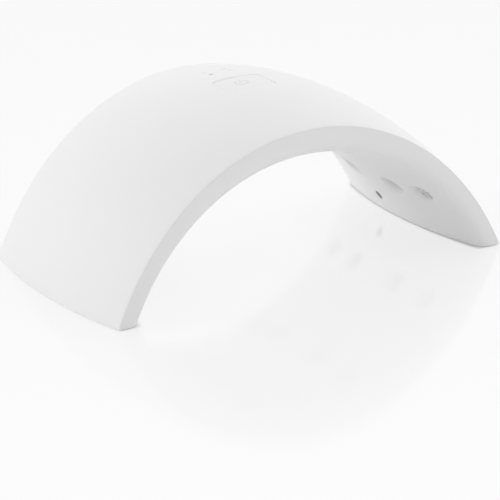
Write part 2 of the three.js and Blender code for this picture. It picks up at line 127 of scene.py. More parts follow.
# %% World and suns
BACKDROP_LEVEL = 0.956
SKY_LEVEL = 0.22
WIDE = 120
SOFT = 60
# Each sun: degrees round from the front, degrees up, its width in degrees and its strength.
SUNS = {
    "sun_back": (180, 25, WIDE, 0.69),
    "sun_front": (0, 25, WIDE, 0.1),
    "sun_high_right": (90, 45, SOFT, 0.14),
    "sun_front_right": (45, 25, SOFT, 0.15),
    "sun_low_right": (90, 10, SOFT, 0.29),
    "sun_low_front_left": (-40, 8, SOFT, 0.2),
    "sun_low_back_left": (-125, 8, SOFT, 0.38),
}


def link(tree, start, end):
    tree.links.new(start, end)


def add_math(tree, operation, first, second):
    """A Math node; each of its two inputs is a number or the output of another node."""
    step = tree.nodes.new("ShaderNodeMath")
    step.operation = operation
    for socket, value in zip(step.inputs, (first, second)):
        if isinstance(value, (int, float)):
            socket.default_value = value
        else:
            link(tree, value, socket)
    return step.outputs[0]


def add_seen(tree):
    """One for a ray from the camera, off something glossy or through something clear, else zero."""
    path = tree.nodes.new("ShaderNodeLightPath").outputs
    direct = add_math(tree, "MAXIMUM", path["Is Camera Ray"], path["Is Glossy Ray"])
    return add_math(tree, "MAXIMUM", direct, path["Is Transmission Ray"])


def add_mix(tree, share, first, second):
    """A Mix Shader node, from its share and its two shaders."""
    mix = tree.nodes.new("ShaderNodeMixShader")
    for socket, output in zip(mix.inputs, (share, first, second)):
        link(tree, output, socket)
    return mix.outputs[0]


def add_background(tree, strength):
    shade = tree.nodes.new("ShaderNodeBackground")
    shade.inputs["Color"].default_value = (1, 1, 1, 1)
    shade.inputs["Strength"].default_value = strength
    return shade.outputs[0]


def add_world():
    world = bpy.data.worlds.new("studio")
    bpy.context.scene.world = world
    world.use_nodes = True
    tree = world.node_tree
    tree.nodes.clear()
    sky = add_background(tree, SKY_LEVEL)
    backdrop = add_background(tree, BACKDROP_LEVEL)
    output = tree.nodes.new("ShaderNodeOutputWorld")
    link(tree, add_mix(tree, add_seen(tree), sky, backdrop), output.inputs["Surface"])


def add_sun(name, azimuth, elevation, width, strength):
    bpy.ops.object.light_add(type="SUN")
    sun = bpy.context.object
    sun.name = name
    away = direction(math.radians(azimuth), math.radians(elevation))
    sun.rotation_euler = away.to_track_quat("Z", "Y").to_euler()
    sun.data.energy = strength * math.pi
    sun.data.angle = math.radians(width)
    sun.visible_glossy = False
    sun.visible_transmission = False


add_world()
for sun_name, settings in SUNS.items():
    add_sun(sun_name, *settings)
bpy.context.scene.view_settings.view_transform = "Standard"
print("Suns:", len(SUNS))

# %% [markdown]
# ## Shared finishes
# Moulded plastic is never one flat value. The tool leaves a fine spark texture, the melt leaves
# broad areas that are a little glossier or greyer, and hands leave faint smudges. Each of these
# is a node group with its own inputs, built once and placed in every material that needs it.
# All patterns read Object coordinates in metres, so a scale is one over a real size.

# %% Node groups
FLOAT = "NodeSocketFloat"
COLOUR = "NodeSocketColor"
FLOW_DETAIL = 2.0
GRAIN_DETAIL = 4.0
NOISE_MIDDLE = 0.5
SMUDGE_START = 0.55
SMUDGE_FULL = 0.75


def new_group(name, inputs, outputs):
    group = bpy.data.node_groups.new(name, "ShaderNodeTree")
    for label, kind, value in inputs:
        socket = group.interface.new_socket(name=label, in_out="INPUT", socket_type=kind)
        socket.default_value = value
    for label, kind in outputs:
        group.interface.new_socket(name=label, in_out="OUTPUT", socket_type=kind)
    start = group.nodes.new("NodeGroupInput")
    end = group.nodes.new("NodeGroupOutput")
    return group, start, end


def add_noise(tree, coordinates, scale, detail):
    noise = tree.nodes.new("ShaderNodeTexNoise")
    noise.inputs["Detail"].default_value = detail
    link(tree, coordinates, noise.inputs["Vector"])
    link(tree, scale, noise.inputs["Scale"])
    return noise.outputs["Fac"]


def add_range(tree, value, start, end, first=0, last=1, kind="SMOOTHSTEP"):
    """Goes from a first to a last number while a value goes from a start to an end."""
    ramp = tree.nodes.new("ShaderNodeMapRange")
    ramp.interpolation_type = kind
    labels = ("From Min", "From Max", "To Min", "To Max")
    for label, number in zip(labels, (start, end, first, last)):
        ramp.inputs[label].default_value = number
    link(tree, value, ramp.inputs["Value"])
    return ramp.outputs["Result"]


def build_mould_texture():
    group, start, end = new_group(
        "mould_texture",
        [("Colour", COLOUR, (0.8, 0.8, 0.8, 1)), ("Tone Spread", FLOAT, 0.02),
         ("Gloss", FLOAT, 0.4), ("Gloss Spread", FLOAT, 0.05),
         ("Grain Scale", FLOAT, 2500.0), ("Flow Scale", FLOAT, 30.0)],
        [("Colour", COLOUR), ("Roughness", FLOAT), ("Height", FLOAT)],
    )
    place = group.nodes.new("ShaderNodeTexCoord").outputs["Object"]
    flow = add_noise(group, place, start.outputs["Flow Scale"], FLOW_DETAIL)
    grain = add_noise(group, place, start.outputs["Grain Scale"], GRAIN_DETAIL)
    swing = add_math(group, "SUBTRACT", flow, NOISE_MIDDLE)
    tone = add_math(group, "MULTIPLY", swing, start.outputs["Tone Spread"])
    value = add_math(group, "ADD", tone, 1.0)
    shade = group.nodes.new("ShaderNodeVectorMath")
    shade.operation = "SCALE"
    link(group, start.outputs["Colour"], shade.inputs[0])
    link(group, value, shade.inputs["Scale"])
    link(group, shade.outputs[0], end.inputs["Colour"])
    polish = add_math(group, "MULTIPLY", swing, start.outputs["Gloss Spread"])
    speckle = add_math(group, "SUBTRACT", grain, NOISE_MIDDLE)
    sparkle = add_math(group, "MULTIPLY", speckle, start.outputs["Gloss Spread"])
    both = add_math(group, "ADD", polish, sparkle)
    link(group, add_math(group, "ADD", both, start.outputs["Gloss"]), end.inputs["Roughness"])
    link(group, grain, end.inputs["Height"])
    return group


def build_handling():
    group, start, end = new_group(
        "handling",
        [("Roughness", FLOAT, 0.4), ("Smudge", FLOAT, 0.06), ("Smudge Scale", FLOAT, 60.0)],
        [("Roughness", FLOAT)],
    )
    place = group.nodes.new("ShaderNodeTexCoord").outputs["Object"]
    patches = add_noise(group, place, start.outputs["Smudge Scale"], FLOW_DETAIL)
    edge = add_range(group, patches, SMUDGE_START, SMUDGE_FULL)
    added = add_math(group, "MULTIPLY", edge, start.outputs["Smudge"])
    link(group, add_math(group, "ADD", added, start.outputs["Roughness"]), end.inputs["Roughness"])
    return group


MOULD_TEXTURE = build_mould_texture()
HANDLING = build_handling()
print("Node groups:", [g.name for g in (MOULD_TEXTURE, HANDLING)])

# %% [markdown]
# ## Plastics
# Both covers and the key are satin white ABS, the covers with a spark-eroded grain that is too
# fine to see at arm's length. A principled shader with a middling roughness gives that soft
# sheen, and only its colour, roughness and height come from the groups.

# %% Plastic materials
PLASTIC_IOR = 1.5
TONE_SPREAD = 0.02
GLOSS_SPREAD = 0.08
FLOW_SIZE = 35 * MM
SMUDGE_SIZE = 18 * MM


def new_material(name):
    material = bpy.data.materials.new(name)
    material.use_nodes = True
    shader = material.node_tree.nodes["Principled BSDF"]
    return material, material.node_tree, shader


def place_group(tree, group, **values):
    node = tree.nodes.new("ShaderNodeGroup")
    node.node_tree = group
    for label, value in values.items():
        node.inputs[label.replace("_", " ")].default_value = value
    return node


def add_skin(tree, shader, **values):
    """Gives a shader its colour and roughness from the mould texture."""
    skin = place_group(tree, MOULD_TEXTURE, **values)
    link(tree, skin.outputs["Colour"], shader.inputs["Base Color"])
    link(tree, skin.outputs["Roughness"], shader.inputs["Roughness"])
    return skin


def add_bump(tree, height, shader, distance):
    bump = tree.nodes.new("ShaderNodeBump")
    bump.inputs["Distance"].default_value = distance
    link(tree, height, bump.inputs["Height"])
    link(tree, bump.outputs["Normal"], shader.inputs["Normal"])


def grey(level):
    return (level, level, level, 1)


def plastic(name, colour, gloss, grain=0.35 * MM, depth=0.004 * MM, smudge=0.04):
    """Moulded plastic: its colour, its roughness, and the size and depth of its grain."""
    material, tree, shader = new_material(name)
    skin = add_skin(
        tree, shader, Colour=colour, Tone_Spread=TONE_SPREAD, Gloss=gloss,
        Gloss_Spread=GLOSS_SPREAD, Grain_Scale=1 / grain, Flow_Scale=1 / FLOW_SIZE)
    touch = place_group(tree, HANDLING, Smudge=smudge, Smudge_Scale=1 / SMUDGE_SIZE)
    # Smudges come between: this link takes the place of the one straight from the skin.
    link(tree, skin.outputs["Roughness"], touch.inputs["Roughness"])
    link(tree, touch.outputs["Roughness"], shader.inputs["Roughness"])
    shader.inputs["IOR"].default_value = PLASTIC_IOR
    add_bump(tree, skin.outputs["Height"], shader, depth)
    return material


WHITE_SHELL = plastic("white_shell", grey(0.87), 0.42)
WHITE_LINER = plastic("white_liner", grey(0.84), 0.36, depth=0.003 * MM)
WHITE_KEY = plastic("white_key", grey(0.86), 0.4, grain=0.5 * MM)
MARK_INK = plastic("mark_ink", grey(0.7), 0.5, depth=0.002 * MM)
LABEL_INK = plastic("label_ink", grey(0.74), 0.5, depth=0.002 * MM)
BLACK_PLASTIC = plastic("black_plastic", (0.022, 0.022, 0.025, 1), 0.42, depth=0.006 * MM)
PAD_RUBBER = plastic("pad_rubber", grey(0.62), 0.8, grain=0.8 * MM, depth=0.02 * MM, smudge=0.1)
LEAD_JACKET = plastic("lead_jacket", (0.03, 0.03, 0.032, 1), 0.5, grain=0.9 * MM, depth=0.01 * MM)

# %% [markdown]
# ## Glass, metal and boards
# The lamp domes are clear silicone, the signal dots are milky acrylic, and the hand sensors look
# through smoked acrylic. Both dots are one acrylic in two tones that are painted light: the left
# lens is painted a little darker as shade and the right one paler as light. The screws are
# zinc-plated steel, and the boards carry copper under green or white lacquer. Transmission and
# metal are constants on the shader. The haze, the plating and the copper runs are patterns that
# change over the surface.

# %% Other materials
SILICONE_IOR = 1.41
HAZE_GRAIN = 1.2 * MM
HAZE_FLOW = 6 * MM
SPANGLE_GRAIN = 0.3 * MM
SPANGLE_FLOW = 1.5 * MM
SPANGLE_DEPTH = 0.005 * MM
TRACK_EDGES = (0.42, 0.46)
LACQUER_ROUGHNESS = 0.35
COPPER_TALL = 0.03 * MM


def clear_material(name, colour, roughness, transmission, ior=PLASTIC_IOR):
    material, tree, shader = new_material(name)
    add_skin(
        tree, shader, Colour=colour, Tone_Spread=0.04, Gloss=roughness, Gloss_Spread=0.03,
        Grain_Scale=1 / HAZE_GRAIN, Flow_Scale=1 / HAZE_FLOW)
    shader.inputs["Transmission Weight"].default_value = transmission
    shader.inputs["IOR"].default_value = ior
    return material


def plated_steel():
    material, tree, shader = new_material("zinc_plated_steel")
    shader.inputs["Metallic"].default_value = 1.0
    skin = add_skin(
        tree, shader, Colour=(0.62, 0.63, 0.64, 1), Tone_Spread=0.25, Gloss=0.3,
        Gloss_Spread=0.2, Grain_Scale=1 / SPANGLE_GRAIN, Flow_Scale=1 / SPANGLE_FLOW)
    add_bump(tree, skin.outputs["Height"], shader, SPANGLE_DEPTH)
    return material


def board(name, lacquer, copper, track):
    """A circuit board: square copper runs under lacquer, a little raised."""
    material, tree, shader = new_material(name)
    place = tree.nodes.new("ShaderNodeTexCoord").outputs["Object"]
    cells = tree.nodes.new("ShaderNodeTexVoronoi")
    cells.distance = "CHEBYCHEV"
    cells.feature = "F1"
    cells.inputs["Scale"].default_value = 1 / track
    link(tree, place, cells.inputs["Vector"])
    runs = add_range(tree, cells.outputs["Distance"], *TRACK_EDGES, kind="LINEAR")
    mix = tree.nodes.new("ShaderNodeMix")
    mix.data_type = "RGBA"
    mix.inputs["A"].default_value = lacquer
    mix.inputs["B"].default_value = copper
    link(tree, runs, mix.inputs["Factor"])
    link(tree, mix.outputs["Result"], shader.inputs["Base Color"])
    shader.inputs["Roughness"].default_value = LACQUER_ROUGHNESS
    add_bump(tree, runs, shader, COPPER_TALL)
    return material


CLEAR_DOME = clear_material("clear_dome", (0.95, 0.94, 0.98, 1), 0.2, 0.85, SILICONE_IOR)
SMOKED_LENS = clear_material("smoked_lens", (0.05, 0.04, 0.055, 1), 0.1, 0.35)
# The two signal lenses are one milky acrylic: the left colour is painted shade, the right one
# painted light.
LIT_AND_SHADED_SIGNAL_LENSES = {
    "left": clear_material("signal_lens_painted_shade", (0.7, 0.7, 0.71, 1), 0.2, 0.1),
    "right": clear_material("signal_lens_painted_light", (0.96, 0.96, 0.965, 1), 0.2, 0.05),
}
DIE_CERAMIC = plastic("die_ceramic", (0.78, 0.74, 0.62, 1), 0.35, depth=0.002 * MM)
STEEL = plated_steel()
GREEN_BOARD = board("green_board", (0.02, 0.12, 0.05, 1), (0.05, 0.22, 0.09, 1), 4 * MM)
WHITE_BOARD = board("white_board", grey(0.72), (0.6, 0.6, 0.57, 1), 5 * MM)
print("Materials:", len(bpy.data.materials))

# %% [markdown]
# ## Table
# The table is a glossy white light table. It glows a little from below, it mirrors the arch
# faintly, and it darkens only close to the feet. The camera sees mostly the backdrop's own grey
# with a small share of the real shading, which keeps the shadow and hides the horizon. Round the
# two feet that share is a little larger, so the shadow deepens there, and right under them it is
# large, so each sole has its thin dark line of contact. The mirror lies over that as a thin
# glossy layer that Fresnel makes stronger at a low angle.

# %% Table
TABLE_SIZE = 40.0
TABLE_GAP = 0.02 * MM
TABLE_WHITE = 0.9
TABLE_MATT = 0.6
TABLE_GLOW = 0.067
SHOWN_SHARE = 0.88
SHOWN_LEVEL = 1.03
TABLE_POLISH = 0.09
TABLE_IOR = 1.8
CONTACT_FADE = 0.8 * MM
CONTACT_INSET = 1.2 * MM
CONTACT_SHARE = 0.76
FOOT_THICK = 23.5 * MM
FOOT_CURVE = 2.0
SHADE_CENTRE = 80 * MM
SHADE_ACROSS = 60 * MM
SHADE_ALONG = 85 * MM
SHADE_SHARE = 0.07


def add_place(tree):
    """How far a spot of the table lies from the lamp's middle, to the side and to an end."""
    split = tree.nodes.new("ShaderNodeSeparateXYZ")
    link(tree, tree.nodes.new("ShaderNodeTexCoord").outputs["Object"], split.inputs[0])
    return [add_math(tree, "ABSOLUTE", split.outputs[axis], 0) for axis in ("X", "Y")]


def add_footprint(tree, across, back):
    """One under the two feet and zero elsewhere; the feet are barrelled outside and inside."""
    pull = add_math(tree, "MULTIPLY", add_math(tree, "POWER", back, 2), FOOT_CURVE)
    limits = (
        (add_math(tree, "ADD", across, pull), cad_box[1][0] - CONTACT_INSET),
        (add_math(tree, "SUBTRACT", pull, across), FOOT_THICK - cad_box[1][0]),
        (back, cad_box[1][1]))
    outside, inside, ends = (
        add_range(tree, value, limit - CONTACT_FADE, limit + CONTACT_FADE, 1, 0)
        for value, limit in limits)
    return add_math(tree, "MULTIPLY", add_math(tree, "MULTIPLY", outside, inside), ends)


def add_near_shade(tree, across, back):
    """One close to a foot, fading to zero at the edge of an oval round it."""
    off_centre = add_math(tree, "SUBTRACT", across, SHADE_CENTRE)
    wide = add_math(tree, "POWER", add_math(tree, "DIVIDE", off_centre, SHADE_ACROSS), 2)
    along = add_math(tree, "POWER", add_math(tree, "DIVIDE", back, SHADE_ALONG), 2)
    return add_range(tree, add_math(tree, "ADD", wide, along), 0, 1, 1, 0)


def add_table():
    bpy.ops.mesh.primitive_plane_add(size=TABLE_SIZE, location=(0, 0, -TABLE_GAP))
    table = bpy.context.object
    table.name = "table"
    material, tree, shader = new_material("light_table")
    shader.inputs["Base Color"].default_value = grey(TABLE_WHITE)
    shader.inputs["Roughness"].default_value = TABLE_MATT
    shader.inputs["Specular IOR Level"].default_value = 0
    shader.inputs["Emission Color"].default_value = grey(1)
    shader.inputs["Emission Strength"].default_value = TABLE_GLOW
    shown = tree.nodes.new("ShaderNodeEmission")
    shown.inputs["Strength"].default_value = SHOWN_LEVEL
    place = add_place(tree)
    contact = add_math(tree, "MULTIPLY", add_footprint(tree, *place), CONTACT_SHARE)
    clear_of_feet = add_math(tree, "SUBTRACT", 1, contact)
    shade = add_math(tree, "MULTIPLY", add_near_shade(tree, *place), SHADE_SHARE)
    away_from_feet = add_math(tree, "SUBTRACT", SHOWN_SHARE, shade)
    share = add_math(tree, "MULTIPLY", clear_of_feet, away_from_feet)
    seen_share = add_math(tree, "MULTIPLY", add_seen(tree), share)
    base = add_mix(tree, seen_share, shader.outputs[0], shown.outputs[0])
    polish = tree.nodes.new("ShaderNodeBsdfGlossy")
    polish.inputs["Roughness"].default_value = TABLE_POLISH
    fresnel = tree.nodes.new("ShaderNodeFresnel")
    fresnel.inputs["IOR"].default_value = TABLE_IOR
    mirror = add_mix(tree, fresnel.outputs[0], base, polish.outputs[0])
    link(tree, mirror, tree.nodes["Material Output"].inputs["Surface"])
    table.data.materials.append(material)


add_table()

# %% [markdown]
# ## Tools of the bench
# Every piece is made the same way: a primitive, some edit-mode steps on faces or edges that are
# picked by where they are, and a finish that recalculates the normals, smooths the shading, gives
# the material, hangs the piece on its body and hides the frame parts that it replaces. These
# helpers keep the cells that follow short.

# %% Modelling helpers
MERGE_DISTANCE = 0.0005 * MM
SMOOTH_BELOW = math.radians(35)


def only(piece):
    """Leaves edit mode and selects one piece alone."""
    if bpy.context.object and bpy.context.object.mode != "OBJECT":
        bpy.ops.object.mode_set(mode="OBJECT")
    bpy.ops.object.select_all(action="DESELECT")
    piece.select_set(True)
    bpy.context.view_layer.objects.active = piece


def named(name):
    """The primitive that was just added, under its own name."""
    piece = bpy.context.object
    piece.name = name
    piece.data.name = name
    only(piece)
    return piece


def pick(piece, kind, test):
    """Opens a piece in edit mode with only the faces or edges selected that pass a test."""
    only(piece)
    bpy.ops.object.mode_set(mode="EDIT")
    bpy.ops.mesh.select_mode(type=kind)
    bpy.ops.mesh.select_all(action="DESELECT")
    mesh = bmesh.from_edit_mesh(piece.data)
    for part in mesh.faces if kind == "FACE" else mesh.edges:
        if test(part):
            part.select_set(True)
    mesh.select_flush_mode()
    bmesh.update_edit_mesh(piece.data)


def open_edit(piece):
    """Opens a piece in edit mode with all of it selected."""
    only(piece)
    bpy.ops.object.mode_set(mode="EDIT")
    bpy.ops.mesh.select_all(action="SELECT")


def close_edit():
    bpy.ops.object.mode_set(mode="OBJECT")


def push(distance):
    """Extrudes the selected faces along the Z axis."""
    bpy.ops.mesh.extrude_region_move(TRANSFORM_OT_translate={"value": (0, 0, distance)})


def bevel(piece, test, offset, segments):
    """Bevels the edges of a piece that pass a test."""
    pick(piece, "EDGE", test)
    bpy.ops.mesh.bevel(offset=offset, segments=segments)
    close_edit()


def cut_above(piece, level):
    """Cuts away what lies above a level and closes the cut."""
    pick(piece, "FACE", lambda face: True)
    bpy.ops.mesh.bisect(plane_co=(0, 0, level), plane_no=(0, 0, 1), clear_outer=True, use_fill=True)
    close_edit()


def face_outwards(piece):
    """Merges what lies together and turns every face to the outside."""
    open_edit(piece)
    bpy.ops.mesh.remove_doubles(threshold=MERGE_DISTANCE)
    bpy.ops.mesh.normals_make_consistent(inside=False)
    close_edit()


def combine(target, tool, operation):
    """Cuts one closed piece from another, adds it or keeps what they share; it uses up the tool."""
    only(target)
    bpy.ops.object.modifier_add(type="BOOLEAN")
    step = target.modifiers[-1]
    step.operation = operation
    step.solver = "MANIFOLD"
    step.object = tool
    bpy.ops.object.modifier_apply(modifier=step.name)
    bpy.data.objects.remove(tool)
    return target


def join(name, pieces):
    only(pieces[0])
    for piece in pieces[1:]:
        piece.select_set(True)
    bpy.ops.object.join()
    return named(name)


def settle(piece, matrix=None):
    """Moves a piece to its place and puts that place into its mesh."""
    if matrix is not None:
        piece.matrix_world = matrix @ piece.matrix_world
    only(piece)
    bpy.ops.object.transform_apply(location=True, rotation=True, scale=True)
    return piece


def finish(piece, material, nodes=(), body="housing"):
    """Finishes a piece: gives it its material, hangs it on its body and hides the frame parts it
    replaces.
    """
    settle(piece)
    face_outwards(piece)
    bpy.ops.object.shade_smooth_by_angle(angle=SMOOTH_BELOW)
    piece.data.materials.clear()
    piece.data.materials.append(material)
    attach(piece, body)
    if nodes:
        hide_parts(*nodes)


def copy_piece(piece, name, matrix):
    only(piece)
    bpy.ops.object.duplicate(linked=False)
    return settle(named(name), matrix)


def over(place):
    """The move from the middle of the table to a spot under a place."""
    return Matrix.Translation((place[0], place[1], 0))


# %% [markdown]
# ## Curves of the arch
# Seen from the front, every skin of the lamp is a piece of an ellipse that stands on the ground.
# All of them belong to one family, told apart by their inset: how far they lie inside the edge
# curve of the outer cover. An inset that changes from front to back gives the barrel of the
# outer cover and the swell of the hand side.

# %% Sizes and formulas of the skins
EDGE_RISE = 71 * MM
CENTRE_DROP = 57.6 * MM
CROWN_INSET_SHARE = 1.14
BARREL_SWELL = 6.2 * MM
RIM_INSET = 11.2 * MM
RIM_SETBACK = 5.7 * MM
HAND_SWELL = 6.1 * MM
FACE_BAND = 4.2 * MM
WALL = 2 * MM
SEAM = 0.3 * MM
CLEARANCE = 0.3 * MM
SHARE_STEP = 0.001

cover_low, cover_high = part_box("outer_cover")
GROUND_GAP = cover_low.z
HALF_DEPTH = cover_high.y
HALF_SPAN = cover_high.x - BARREL_SWELL
RIM_BACK = HALF_DEPTH - RIM_SETBACK
BARREL_RADIUS = (HALF_DEPTH ** 2 + BARREL_SWELL ** 2) / (2 * BARREL_SWELL)
HAND_RADIUS = (RIM_BACK ** 2 + HAND_SWELL ** 2) / (2 * HAND_SWELL)


def ellipse(inset):
    drop = CENTRE_DROP - inset
    height = EDGE_RISE - CROWN_INSET_SHARE * inset + drop
    reach = (HALF_SPAN - inset) / math.sqrt(1 - (drop / height) ** 2)
    return drop, height, reach


def on_arch(share, inset, y):
    """A point on the arch; the share runs from -1 at the left foot to 1 at the right foot."""
    drop, height, reach = ellipse(inset)
    angle = share * math.acos(drop / height)
    level = GROUND_GAP + height * math.cos(angle) - drop
    return Vector((reach * math.sin(angle), y, level))


def level_at(inset, x):
    drop, height, reach = ellipse(inset)
    return GROUND_GAP + height * math.sqrt(1 - (x / reach) ** 2) - drop


def cover_inset(y):
    return BARREL_RADIUS - BARREL_SWELL - math.sqrt(BARREL_RADIUS ** 2 - y ** 2)


def hand_inset(y):
    return RIM_INSET + HAND_SWELL - HAND_RADIUS + math.sqrt(HAND_RADIUS ** 2 - y ** 2)


def cover_level(x, y, below=0.0):
    return level_at(cover_inset(y) + below, x)


def station(share, inset, y=0.0):
    """A frame on the arch: X along it towards the right foot, Y to the back, Z outwards."""
    ahead = on_arch(share + SHARE_STEP, inset, y)
    along = (ahead - on_arch(share - SHARE_STEP, inset, y)).normalized()
    back = Vector((0, 1, 0))
    outwards = along.cross(back)
    turn = Matrix((along, back, outwards)).transposed().to_4x4()
    return Matrix.Translation(on_arch(share, inset, y)) @ turn


crown = on_arch(0, cover_inset(0), 0)
print("Crown at mm:", round(crown.z / MM, 2), "foot at mm:", round(HALF_SPAN / MM, 2))

# %% [markdown]
# ## Slabs and posts
# The arch is no part of a circle, so neither the spin nor a bend modifier can make it. A flat
# grid can: it is extruded once for the wall, and each vertex is then laid on the arch by the
# formulas, its X as the way along the arch and its Y as the way across it. A post works
# alike for closed outlines: a disc is extruded ring by ring, and each ring is laid where its
# formula says. Both start as primitives and keep clean rows of quads.

# %% Slabs, posts and other forms
ROD_SIDES = 32


def slab(name, along, across, lay):
    """A flat slab laid on the arch by lay(share, across share, whether on its inner side)."""
    bpy.ops.mesh.primitive_grid_add(x_subdivisions=along, y_subdivisions=across, size=2)
    piece = named(name)
    open_edit(piece)
    push(-1)
    close_edit()
    for vertex in piece.data.vertices:
        share, way, layer = vertex.co
        vertex.co = lay(share, way, layer < 0)
    face_outwards(piece)
    return piece


def post(name, sides, rings, lay):
    """A disc extruded ring by ring and laid by lay(share of a turn, number of the ring)."""
    bpy.ops.mesh.primitive_circle_add(vertices=sides, radius=1, fill_type="NGON")
    piece = named(name)
    open_edit(piece)
    bpy.ops.mesh.select_mode(type="FACE")
    for _ in range(rings - 1):
        push(1)
    close_edit()
    for vertex in piece.data.vertices:
        turn_share = math.atan2(vertex.co.y, vertex.co.x) / (2 * math.pi) % 1
        vertex.co = lay(round(turn_share * sides) / sides % 1, round(vertex.co.z))
    face_outwards(piece)
    return piece


def around(radius, turn_share, centre=(0, 0)):
    """The point of a circle after a share of a turn."""
    angle = 2 * math.pi * turn_share
    return centre[0] + radius * math.cos(angle), centre[1] + radius * math.sin(angle)


def turned(name, sides, profile):
    """A post with round rings: its profile is a list of (radius, level)."""
    def lay(turn_share, ring):
        radius, level = profile[ring]
        return Vector((*around(radius, turn_share), level))
    return post(name, sides, len(profile), lay)


def rod(name, radius, low, high, sides=ROD_SIDES):
    bpy.ops.mesh.primitive_cylinder_add(
        vertices=sides, radius=radius, depth=high - low, location=(0, 0, (low + high) / 2))
    return named(name)


def block(name, size, level):
    """A box round the Z axis with its middle at a level."""
    bpy.ops.mesh.primitive_cube_add(size=1, location=(0, 0, level))
    piece = named(name)
    piece.scale = size
    return settle(piece)


def quarter_steps(steps):
    """(cosine, sine) at each step of a quarter of a turn."""
    angles = [math.pi / 2 * k / steps for k in range(steps + 1)]
    return [(math.cos(angle), math.sin(angle)) for angle in angles]


# %% [markdown]
# ## Outer cover
# The outer cover is one barrelled skin two millimetres thick. In the mould its front and back
# edges are cut at a slant, so that the seam to the inner cover runs right along the sharp edge
# and doesn't show. The slab is laid with a shorter inner side, which gives that slant, and the
# outer rim gets a small bevel, because a moulded edge always catches a thin line of light.

# %% Skin of the outer cover
COVER_ALONG = 200
COVER_ACROSS = 64
RIM_SOFTNESS = 0.08 * MM
RIM_SHARPNESS = math.radians(30)
HAIR = 0.01 * MM


def lay_cover(share, way, inside):
    y = way * (HALF_DEPTH - WALL if inside else HALF_DEPTH)
    return on_arch(share, cover_inset(y) + (WALL if inside else 0), y)


def is_cover_rim(edge):
    for vertex in edge.verts:
        x, y, z = vertex.co
        on_end = abs(y) > HALF_DEPTH - HAIR
        on_foot = z < GROUND_GAP + HAIR and abs(x) > HALF_SPAN - cover_inset(y) - HAIR
        if not (on_end or on_foot):
            return False
    return edge.calc_face_angle(0) > RIM_SHARPNESS


outer_cover = slab("outer_cover_skin", COVER_ALONG, COVER_ACROSS, lay_cover)
bevel(outer_cover, is_cover_rim, RIM_SOFTNESS, 2)
print("Outer cover faces:", len(outer_cover.data.polygons))

# %% [markdown]
# ## Bosses under the outer cover
# Ten hollow bosses hang from the inside of the cover: four reach down to the feet for the case
# screws, four carry the control board, and two take the crown screws. Their tops have to follow
# the skin, so straight rods are first cut to the space under the middle of the wall and only
# then added to the cover. The places and lengths come from the frame's own screws and boards.

# %% Bosses and their bores
SCREW_RADIUS = 1.2 * MM
SCREW_HEAD_RADIUS = 2.3 * MM
SCREW_HEAD_TALL = 1.5 * MM
BOSS_WALL = 1.7 * MM
FOOT_PLATE = 3.2 * MM
SCREW_HOLE = SCREW_RADIUS + CLEARANCE
HEAD_HOLE = SCREW_HEAD_RADIUS + CLEARANCE
BOSS_RADIUS = SCREW_HOLE + BOSS_WALL
OVERRUN = 1 * MM

SIDES = {"left": -1, "right": 1}
ENDS = ("front", "back")
CORNERS = [f"{side}_{end}" for side in SIDES for end in ENDS]
CASE_SCREWS = [f"case_screw_{corner}" for corner in CORNERS]
FOOT_PADS = [f"foot_pad_{corner}" for corner in CORNERS]
BOARD_SCREWS = [f"board_screw_{side}" for side in SIDES]
CROWN_SCREWS = [f"crown_screw_{end}" for end in ENDS]


def middle(node):
    low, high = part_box(node)
    return (low + high) / 2


def head_seat(node):
    """The level of the seat of an upright screw: the top side of its head."""
    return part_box(node)[0].z + SCREW_HEAD_TALL


board_low, board_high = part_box("control_board")
POST_FROM_END = 5 * MM
POST_FROM_EDGE = 6 * MM
post_xs = (board_low.x + POST_FROM_END, board_high.x - POST_FROM_END)
post_ys = (board_low.y + POST_FROM_EDGE, board_high.y - POST_FROM_EDGE)
plate_top = GROUND_GAP + FOOT_PLATE


def upright(name, radius, place, low, high):
    return settle(rod(name, radius, low, high), over(place))


def space_under_cover():
    """Everything under the middle of the cover's wall."""
    def lay(share, way, inside):
        y = way * HALF_DEPTH
        point = on_arch(share, cover_inset(y) + WALL / 2, y)
        return Vector((point.x, point.y, -HALF_DEPTH)) if inside else point
    return slab("space_under_cover", COVER_ALONG // 2, COVER_ACROSS // 2, lay)


def cover_bosses():
    bosses = [(middle(name), plate_top + CLEARANCE, EDGE_RISE / 2) for name in CASE_SCREWS]
    for x in post_xs:
        bosses.extend(((x, y), board_high.z + CLEARANCE, crown.z) for y in post_ys)
    for name in CROWN_SCREWS:
        bosses.append((middle(name), head_seat(name) + WALL + 2 * CLEARANCE, crown.z))
    pieces = [upright("boss", BOSS_RADIUS, *boss) for boss in bosses]
    return combine(join("cover_bosses", pieces), space_under_cover(), "INTERSECT")


def cover_bores():
    pieces = []
    for name in (*CASE_SCREWS, *BOARD_SCREWS, *CROWN_SCREWS):
        low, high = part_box(name)
        pieces.append(upright("bore", SCREW_HOLE, middle(name), low.z, high.z + CLEARANCE))
    return join("cover_bores", pieces)


combine(outer_cover, cover_bosses(), "UNION")
combine(outer_cover, cover_bores(), "DIFFERENCE")
print("Outer cover with bosses, faces:", len(outer_cover.data.polygons))

# %% [markdown]
# ## Openings in the outer cover
# The crown is open for the key and for two signal dots, and the right leg for the power inlet.
# A real opening never has a knife edge: its rim is rounded a few tenths of a millimetre. Each
# cutter is a post whose last rings flare out as they come up to the skin, and every ring follows
# the curved skin, so the rounding has one width all the way round.

# %% Openings
KEY_LENGTH = 24 * MM
KEY_WIDTH = 18.4 * MM
KEY_CORNER = 3.4 * MM
KEY_GAP = 0.08 * MM
KEY_SIDES = 96
STRAIGHT_SHARE = 0.3
HOLE_SOFTNESS = 0.15 * MM
FLARE_STEPS = 4
ROUND_SIDES = 40
FINE_SIDES = 48

pipe_places = {side: middle(f"indicator_pipe_{side}") for side in SIDES}
PIPE_RADIUS = 1.1 * MM
DOT_GAP = 0.05 * MM


